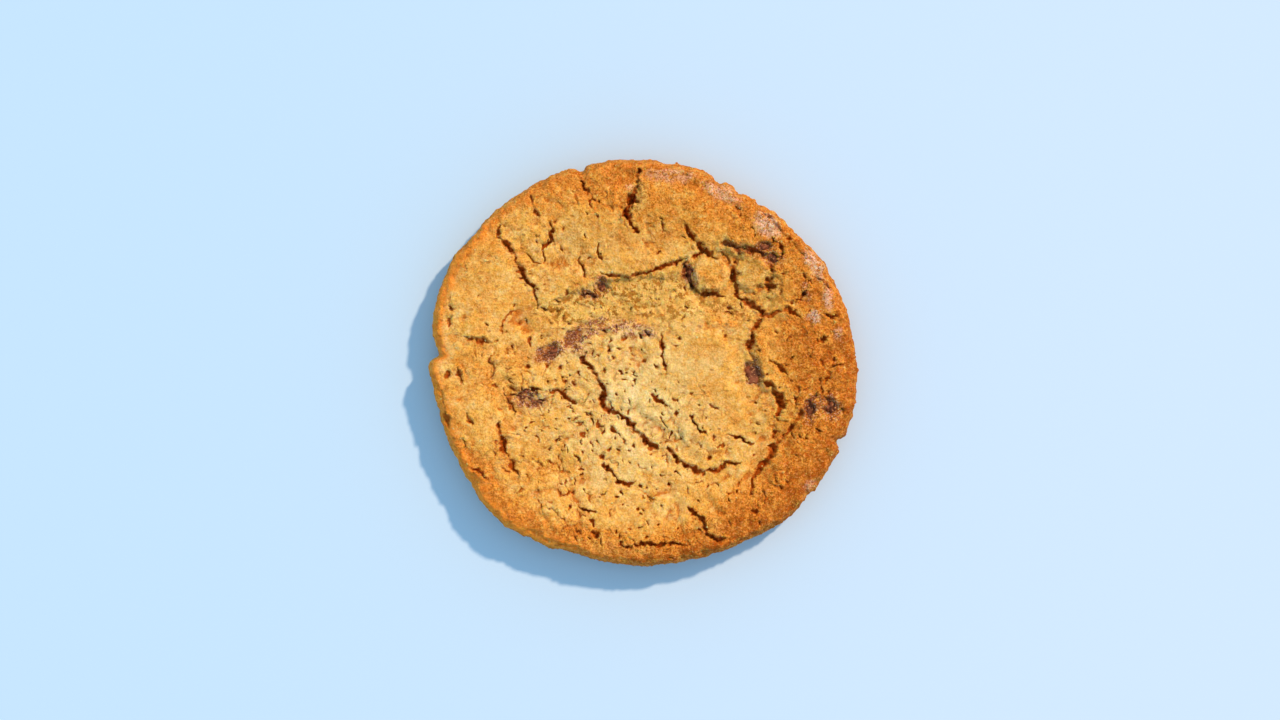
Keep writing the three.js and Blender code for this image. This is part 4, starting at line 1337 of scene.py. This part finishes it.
class GrainGroup:
    """The fine crumb grain that the baked and the chocolate finishes share."""

    NAME = "fine_crumb_grain"
    # How far a pore reaches from its middle, and which cells have one, by their random tint
    PORE_EDGE = (0.12, 0.32)
    PORE_CHANCE = (0.48, 0.66)

    def __init__(self) -> None:
        """Build the node group once."""
        tree = bpy.data.node_groups.new(self.NAME, "ShaderNodeTree")
        for name, kind in (("Place", "NodeSocketVector"), ("Pore Place", "NodeSocketVector"),
                           ("Fine", "NodeSocketFloat"), ("Coarse", "NodeSocketFloat")):
            tree.interface.new_socket(name=name, in_out="INPUT", socket_type=kind)
        for name in ("Height", "Grain Shading", "Pores"):
            tree.interface.new_socket(name=name, in_out="OUTPUT", socket_type="NodeSocketFloat")
        bench = NodeBench(tree)
        given = bench.add("NodeGroupInput").outputs
        fine = bench.add("ShaderNodeTexNoise", {
            "Vector": given["Place"], "Scale": given["Fine"], "Detail": 3.0, "Roughness": 0.6}).outputs["Fac"]
        lumps = bench.add("ShaderNodeTexVoronoi", {
            "Vector": given["Place"], "Scale": given["Coarse"]}, feature="SMOOTH_F1").outputs["Distance"]
        holes = bench.add("ShaderNodeTexVoronoi", {"Vector": given["Pore Place"], "Scale": given["Coarse"]})
        pore = bench.ramp(holes.outputs["Distance"], *self.PORE_EDGE, 1.0, 0.0)
        tint = bench.add("ShaderNodeSeparateColor", {"Color": holes.outputs["Color"]}).outputs[0]
        pore = bench.times(pore, bench.ramp(tint, *self.PORE_CHANCE))
        height = bench.math("SUBTRACT", fine, bench.times(lumps, 0.7))
        height = bench.math("SUBTRACT", height, bench.times(pore, 0.6))
        # Follows the grain's height: it sets painted shade on the low grain and painted light on the high
        # grain
        grain_shading = bench.plus(bench.times(fine, 0.7), bench.times(lumps, -0.35))
        bench.add("NodeGroupOutput", {"Height": height, "Grain Shading": grain_shading, "Pores": pore})
        self.tree = tree

    def use(self, bench: NodeBench, place: object, pores_at: object, fine: float, coarse: float,
            ) -> bpy.types.NodeOutputs:
        """Place the group in a material.

        Args:
            bench: The material's bench.
            place: The place in millimetres.
            pores_at: The place to read the pores at, which may be drawn out.
            fine: The size of the fine grain in millimetres.
            coarse: The size of the crumbs in millimetres.

        Returns:
            The group's outputs.
        """
        return bench.add(
            "ShaderNodeGroup",
            {"Place": place, "Pore Place": pores_at, "Fine": 1 / fine, "Coarse": 1 / coarse},
            node_tree=self.tree,
        ).outputs


@dataclass(frozen=True)
class CrustFinish:
    """Baked crust, from pale to toasted, with painted shade, light and glints laid into its colour."""

    grain: GrainGroup
    tones: tuple[tuple[float, Colour], ...] = (
        (0.0, (0.870, 0.645, 0.290)),
        (0.1, (0.820, 0.550, 0.205)),
        (0.3, (0.810, 0.408, 0.084)),
        (0.55, (0.740, 0.266, 0.036)),
        (0.8, (0.600, 0.188, 0.020)),
        (1.0, (0.370, 0.078, 0.004)),
    )
    cream: Colour = (0.86, 0.590, 0.230)
    crumb: Colour = (0.82, 0.540, 0.150)
    crumb_shade: Colour = (0.40, 0.150, 0.010)
    # Dark red-brown crumb inside the cracks and pits, deepened by painted shade
    hole: Colour = (0.41, 0.068, 0.003)
    # Painted warm shade for the hollows
    sunken: Colour = (0.61, 0.155, 0.012)
    # Dark brown of the toasted grit, also laid as painted shade in pores and hair-fine lines
    pore: Colour = (0.36, 0.100, 0.008)
    # Lit orange of the painted light on the shaded left edge
    edge: Colour = (0.98, 0.30, 0.034)
    smear: Colour = (0.250, 0.074, 0.034)
    cocoa: Colour = (0.085, 0.024, 0.014)
    # Pale pink painted glints on the chocolate smears
    glint_fleck: Colour = (0.82, 0.50, 0.36)
    # Pinkish-white painted glints on the sugar
    sugar_and_glint: Colour = (0.90, 0.60, 0.44)
    # Painted highlight, soft-lit onto ridges and specks
    painted_highlight: Colour = (0.94, 0.80, 0.74)
    spark: Colour = (0.86, 0.44, 0.16)
    # Painted shade and painted light of the fine grain, multiplied over the colour
    grain_shade: Colour = (0.82, 0.72, 0.54)
    grain_light: Colour = (1.12, 1.16, 1.22)
    pore_lean: float = 58.0
    pore_stretch: float = 0.6
    # Sizes of the grain and of the noises, in millimetres
    fine: float = 0.42
    coarse: float = 1.15
    patch: float = 6.5
    blotch: float = 1.9
    speck: float = 0.6
    grit: float = 0.4
    # How much the toast swings by patches, and by blotches and specks where it is pale and where it is dark
    patch_swing: float = 0.34
    swings: Pair = (0.47, 1.2)
    # How strongly each tone is laid on
    cream_share: float = 0.55
    painted_ridge_light_share: float = 0.4
    crumb_share: float = 0.6
    gap_share: float = 0.85
    glint_fleck_share: float = 0.75
    painted_edge_light_share: float = 0.8
    pore_shade_share: float = 0.5
    speck_highlight_share: float = 0.7
    hole_shade_share: float = 0.94
    hole_cocoa: float = 0.85
    crackle_shade_share: float = 0.3
    # Relief of the bump, in metres, and the shine and glow of the surface
    bump: float = 0.28 * MM
    specular: float = 0.06
    glow: float = 0.5
    glow_radius: Colour = (1.0, 0.26, 0.06)
    glow_depth: float = 1.5 * MM

    def make(self) -> bpy.types.Material:
        """Build the material.

        Returns:
            The crust's material.
        """
        material, bench = blank_material("crust")
        work = CrustWork(self, bench)
        for step in (work.bake_tones, work.shade_by_height, work.add_crumb, work.add_toppings, work.add_grit,
                     work.add_grain, work.paint_hole_shade, work.add_crackle):
            step()
        height = bench.plus(work.grain["Height"], bench.times(work.blotch, 0.8))
        height = bench.plus(height, bench.times(work.grit, bench.ramp(work.toast, 0.2, 0.9, 0.3, 0.9)))
        height = bench.math("SUBTRACT", height, bench.times(work.line, 0.6))
        bump = bench.add("ShaderNodeBump", {"Height": height, "Strength": 1.0, "Distance": self.bump})
        shader = bench.add("ShaderNodeBsdfPrincipled", {
            "Base Color": work.colour, "Roughness": bench.ramp(work.blotch, 0.3, 0.7, 0.66, 0.84),
            "Normal": bump.outputs["Normal"], "Specular IOR Level": self.specular,
            "Subsurface Weight": self.glow, "Subsurface Radius": self.glow_radius,
            "Subsurface Scale": self.glow_depth})
        bench.add("ShaderNodeOutputMaterial", {"Surface": shader.outputs["BSDF"]})
        return material


@dataclass
class CrustWork:
    """The steps that lay the crust's tones over each other, and what they share."""

    finish: CrustFinish
    bench: NodeBench

    def __post_init__(self) -> None:
        """Add the place, the masks, the noises and the grain."""
        bench, finish = self.bench, self.finish
        read = {kind: bench.add("ShaderNodeAttribute", attribute_name=kind.value) for kind in Mask}
        self.mask = {kind: node.outputs["Fac"] for kind, node in read.items()}
        self.place = bench.place_in_mm()
        self.patch = bench.noise(self.place, finish.patch, 3.0)
        self.blotch = bench.noise(self.place, finish.blotch, 3.0, 0.6)
        self.speck = bench.noise(self.place, finish.speck, 2.0, 0.6)
        self.grit = bench.noise(self.place, finish.grit, 2.0, 0.7)
        drawn = bench.add("ShaderNodeMapping", {
            "Vector": self.place, "Rotation": (0.0, 0.0, math.radians(finish.pore_lean)),
            "Scale": (finish.pore_stretch, 1.0, 1.0)}).outputs[0]
        self.grain = finish.grain.use(bench, self.place, drawn, finish.fine, finish.coarse)

    def lay(self, share: object, tone: Colour, blend: str = "MIX") -> None:
        """Lay a tone over the colour so far."""
        self.colour = self.bench.mix(share, self.colour, rgba(tone), blend)

    def bake_tones(self) -> None:
        """Work out how toasted the crust is, from 0 for pale to 1 for dark brown, and colour it."""
        bench, finish, bake = self.bench, self.finish, self.mask[Mask.BAKE]
        toast = bench.plus(bake, bench.swung(self.patch, finish.patch_swing))
        swing = bench.ramp(bake, 0.3, 0.8, *finish.swings)
        toast = bench.plus(toast, bench.swung(self.blotch, swing))
        self.toast = bench.math("ADD", toast, bench.swung(self.speck, swing), clamp=True)
        ramp = bench.add("ShaderNodeValToRGB", {"Fac": self.toast})
        for _ in range(len(finish.tones) - len(ramp.color_ramp.elements)):
            ramp.color_ramp.elements.new(0.5)
        for element, (at, tone) in zip(ramp.color_ramp.elements, finish.tones):
            element.position, element.color = at, rgba(tone)
        self.colour = ramp.outputs["Color"]
        creamy = bench.ramp(bench.noise(self.place, 3.2, 4.0), 0.44, 0.6)
        pale = bench.times(bench.ramp(self.toast, 0.1, 0.55, 1.0, 0.0), creamy)
        self.lay(bench.times(pale, finish.cream_share), finish.cream)

    def shade_by_height(self) -> None:
        """Paint warm shade into the hollows and a painted highlight onto the ridges."""
        bench, finish, hollow = self.bench, self.finish, self.mask[Mask.HOLLOW]
        less_in_crumb = bench.ramp(self.mask[Mask.CRUMB], 0.2, 1.0, 0.75, 0.35)
        # Painted warm shade in the hollows, less of it in the crumb
        self.lay(bench.times(bench.ramp(hollow, 0.54, 0.85), less_in_crumb), finish.sunken)
        # Painted highlight on the ridges
        self.lay(bench.times(bench.ramp(hollow, 0.47, 0.36), finish.painted_ridge_light_share), finish.painted_highlight, "SOFT_LIGHT")

    def add_crumb(self) -> None:
        """Add the sunken crumb and the dark gaps between its clumps."""
        bench, finish, crumb = self.bench, self.finish, self.mask[Mask.CRUMB]
        self.lay(bench.times(crumb, finish.crumb_share), finish.crumb)
        coarse = bench.times(bench.noise(self.place, 3.0), 0.6)
        clump = bench.plus(bench.noise(self.place, 1.0, 2.0, 0.6), coarse)
        gaps = bench.times(crumb, bench.ramp(clump, 0.77, 0.69))
        self.lay(bench.times(gaps, finish.gap_share), finish.crumb_shade)

    def add_toppings(self) -> None:
        """Add painted glints on the sugar, and the smears of chocolate with their dark spots and painted pale
        glints.
        """
        bench, finish, smear = self.bench, self.finish, self.mask[Mask.SMEAR]
        # Painted glints on the sugar, in specks
        self.lay(bench.times(self.mask[Mask.SUGAR_AND_GLINT], bench.ramp(self.speck, 0.34, 0.54)), finish.sugar_and_glint)
        coat = bench.times(smear, bench.ramp(self.blotch, 0.38, 0.54))
        coat = bench.times(coat, bench.ramp(self.speck, 0.36, 0.52))
        self.lay(coat, finish.smear)
        spots = bench.ramp(bench.noise(self.place, 1.1, 3.0, 0.6), 0.44, 0.36)
        self.lay(bench.times(coat, spots), finish.cocoa)
        # Painted glints, in pale pink flecks on the smears
        fleck = bench.times(smear, bench.ramp(self.grit, 0.53, 0.62))
        self.lay(bench.times(fleck, finish.glint_fleck_share), finish.glint_fleck)

    def add_grit(self) -> None:
        """Add dark and bright grit, which shows most where the crust is toasted, and the painted light on the
        edge.
        """
        bench, finish = self.bench, self.finish
        more_if_dark = bench.ramp(self.toast, 0.1, 0.8, 0.12, 1.0)
        self.lay(bench.times(bench.ramp(self.grit, 0.5, 0.38), more_if_dark), finish.pore)
        only_if_dark = bench.ramp(self.toast, 0.35, 0.8, 0.0, 0.45)
        self.lay(bench.times(bench.ramp(self.grit, 0.55, 0.66), only_if_dark), finish.spark)
        # Painted light on the shaded left edge
        self.lay(bench.times(self.mask[Mask.EDGE], finish.painted_edge_light_share), finish.edge)

    def add_grain(self) -> None:
        """Add the painted shade and light of the fine grain, its pores darkened by painted shade, and painted
        highlights on specks.
        """
        bench, finish = self.bench, self.finish
        # Painted shade on the low grain and painted light on the high grain
        shade = bench.ramp(self.grain["Grain Shading"], 0.0, 0.45)
        tint = bench.mix(shade, rgba(finish.grain_shade), rgba(finish.grain_light))
        self.colour = bench.mix(1.0, self.colour, tint, "MULTIPLY")
        # Painted shade in the pores
        self.lay(bench.times(self.grain["Pores"], finish.pore_shade_share), finish.pore)
        # Painted highlights on scattered specks
        bright = bench.times(bench.ramp(self.speck, 0.54, 0.66), finish.speck_highlight_share)
        self.lay(bright, finish.painted_highlight, "SOFT_LIGHT")

    def paint_hole_shade(self) -> None:
        """Darken the cracks, pits and other recesses with painted shade over their darker crumb, most of all
        those in chocolate.
        """
        bench, finish = self.bench, self.finish
        cocoa = bench.times(self.mask[Mask.SMEAR], finish.hole_cocoa)
        depths = bench.mix(cocoa, rgba(finish.hole), rgba(finish.cocoa))
        # Painted shade over the darker crumb, by depth in the hole
        deep = bench.ramp(self.mask[Mask.HOLE_SHADE], 0.08, 1.0, 0.0, finish.hole_shade_share)
        self.colour = bench.mix(deep, self.colour, depths)

    def add_crackle(self) -> None:
        """Add the broken net of hair-fine grooves in the crust, darkened by painted shade."""
        bench, finish = self.bench, self.finish
        warp = bench.add("ShaderNodeTexNoise", {"Vector": self.place, "Scale": 0.5, "Detail": 3.0})
        warped = bench.add("ShaderNodeVectorMath", {
            0: warp.outputs["Color"], 1: (2.2, 2.2, 2.2), 2: self.place}, operation="MULTIPLY_ADD")
        net = bench.add("ShaderNodeTexVoronoi", {"Vector": warped.outputs[0], "Scale": 0.26},
                        feature="DISTANCE_TO_EDGE").outputs["Distance"]
        line = bench.times(bench.ramp(net, 0.012, 0.05, 1.0, 0.0), bench.ramp(self.patch, 0.5, 0.62))
        self.line = bench.times(line, bench.ramp(self.blotch, 0.38, 0.56))
        # Painted shade in the grooves
        self.lay(bench.times(self.line, finish.crackle_shade_share), finish.pore)


@dataclass(frozen=True)
class ChocolateFinish:
    """Melted chocolate that has set, with crumb baked onto it."""

    grain: GrainGroup
    dark: Colour = (0.105, 0.028, 0.010)
    bloom: Colour = (0.300, 0.088, 0.036)
    crumb: Colour = (0.60, 0.27, 0.10)
    # Sizes of the grain, of the bloom's blotches and of the specks of crumb, in millimetres
    fine: float = 0.35
    coarse: float = 0.9
    blotch: float = 1.4
    speck: float = 0.5
    crumb_share: float = 0.8
    bump: float = 0.16 * MM
    specular: float = 0.12

    def make(self) -> bpy.types.Material:
        """Build the material.

        Returns:
            The chocolate's material.
        """
        material, bench = blank_material("chocolate")
        place = bench.place_in_mm()
        grain = self.grain.use(bench, place, place, self.fine, self.coarse)
        blotch = bench.noise(place, self.blotch, 3.0, 0.6)
        speck = bench.noise(place, self.speck, 2.0, 0.6)
        colour = bench.mix(bench.ramp(blotch, 0.35, 0.62), rgba(self.dark), rgba(self.bloom))
        dust = bench.times(bench.ramp(speck, 0.58, 0.68), self.crumb_share)
        colour = bench.mix(dust, colour, rgba(self.crumb))
        bump = bench.add("ShaderNodeBump", {
            "Height": grain["Height"], "Strength": 0.6, "Distance": self.bump})
        shader = bench.add("ShaderNodeBsdfPrincipled", {
            "Base Color": colour, "Roughness": bench.ramp(blotch, 0.3, 0.65, 0.32, 0.55),
            "Normal": bump.outputs["Normal"], "Specular IOR Level": self.specular})
        bench.add("ShaderNodeOutputMaterial", {"Surface": shader.outputs["BSDF"]})
        return material


@dataclass(frozen=True)
class FloorFinish:
    """A plain pale floor, with painted light that makes it a little lighter to the right."""

    # Painted light: the right side is a little lighter than the left
    left: Colour = (0.487, 0.656, 0.808)
    right: Colour = (0.558, 0.683, 0.821)

    def make(self) -> bpy.types.Material:
        """Build the material.

        Returns:
            The floor's material.
        """
        material, bench = blank_material("floor")
        place = bench.add("ShaderNodeTexCoord").outputs["Object"]
        across = bench.add("ShaderNodeSeparateXYZ", {0: place}).outputs["X"]
        colour = bench.mix(bench.ramp(across, -0.13, 0.13), rgba(self.left), rgba(self.right))
        shader = bench.add("ShaderNodeBsdfPrincipled", {
            "Base Color": colour, "Roughness": 0.9, "Specular IOR Level": 0.0})
        bench.add("ShaderNodeOutputMaterial", {"Surface": shader.outputs["BSDF"]})
        return material


@dataclass(frozen=True)
class Studio:
    """The floor, the lamp, the fill and the camera straight above."""

    view_width: float = 0.256
    camera_height: float = 0.9
    aim: Pair = (-0.0007, 0.0006)
    sensor: float = 36.0
    lamp_bearing: float = 45.0
    lamp_up: float = 46.0
    lamp_energy: float = 3.2
    lamp_colour: Colour = (1.0, 0.72, 0.505)
    lamp_angle: float = 3.5
    fill: Colour = (0.454, 0.690, 0.885)
    floor_size: float = 2.0

    def build(self) -> None:
        """Set up the whole stage."""
        scene = bpy.context.scene
        scene.view_settings.view_transform = "Standard"
        bm = bmesh.new()
        bmesh.ops.create_grid(bm, x_segments=1, y_segments=1, size=self.floor_size / 2)
        floor = to_scene(to_mesh("floor", bm), FloorFinish().make())
        lamp = bpy.data.lights.new("lamp", "SUN")
        lamp.energy, lamp.color = self.lamp_energy, self.lamp_colour
        lamp.angle = math.radians(self.lamp_angle)
        lamp_object = bpy.data.objects.new("lamp", lamp)
        lean, turn = math.radians(90 - self.lamp_up), math.radians(90 + self.lamp_bearing)
        lamp_object.rotation_euler = (lean, 0.0, turn)
        scene.collection.objects.link(lamp_object)
        world = bpy.data.worlds.new("studio")
        world.use_nodes = True
        background = world.node_tree.nodes["Background"]
        background.inputs["Color"].default_value = rgba(self.fill)
        background.inputs["Strength"].default_value = 1.0
        scene.world = world
        camera = bpy.data.cameras.new("camera")
        camera.sensor_width = self.sensor
        camera.lens = self.sensor * self.camera_height / self.view_width
        camera_object = bpy.data.objects.new("camera", camera)
        camera_object.location = (*self.aim, self.camera_height)
        scene.collection.objects.link(camera_object)
        scene.camera = camera_object


def main() -> None:
    """Build the cookie and its stage."""
    logging.basicConfig(level=logging.INFO, format="%(message)s")
    Studio().build()
    grain = GrainGroup()
    crust = CrustFinish(grain).make()
    dough = Dough()
    body = dough.build(crust)
    chips = MeltedChips(dough).build(ChocolateFinish(grain).make())
    grains = RimGrains(dough).build(crust)
    for piece, slot in ((body, Slot.CRUST), (chips, Slot.CHOCOLATE), (grains, Slot.CRUST)):
        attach(piece, BODY)
        triangles = sum(len(face.vertices) - 2 for face in piece.data.polygons)
        LOG.info("%s: %d triangles", piece.name, triangles)
    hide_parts(NODE)


if __name__ == "__main__":
    main()
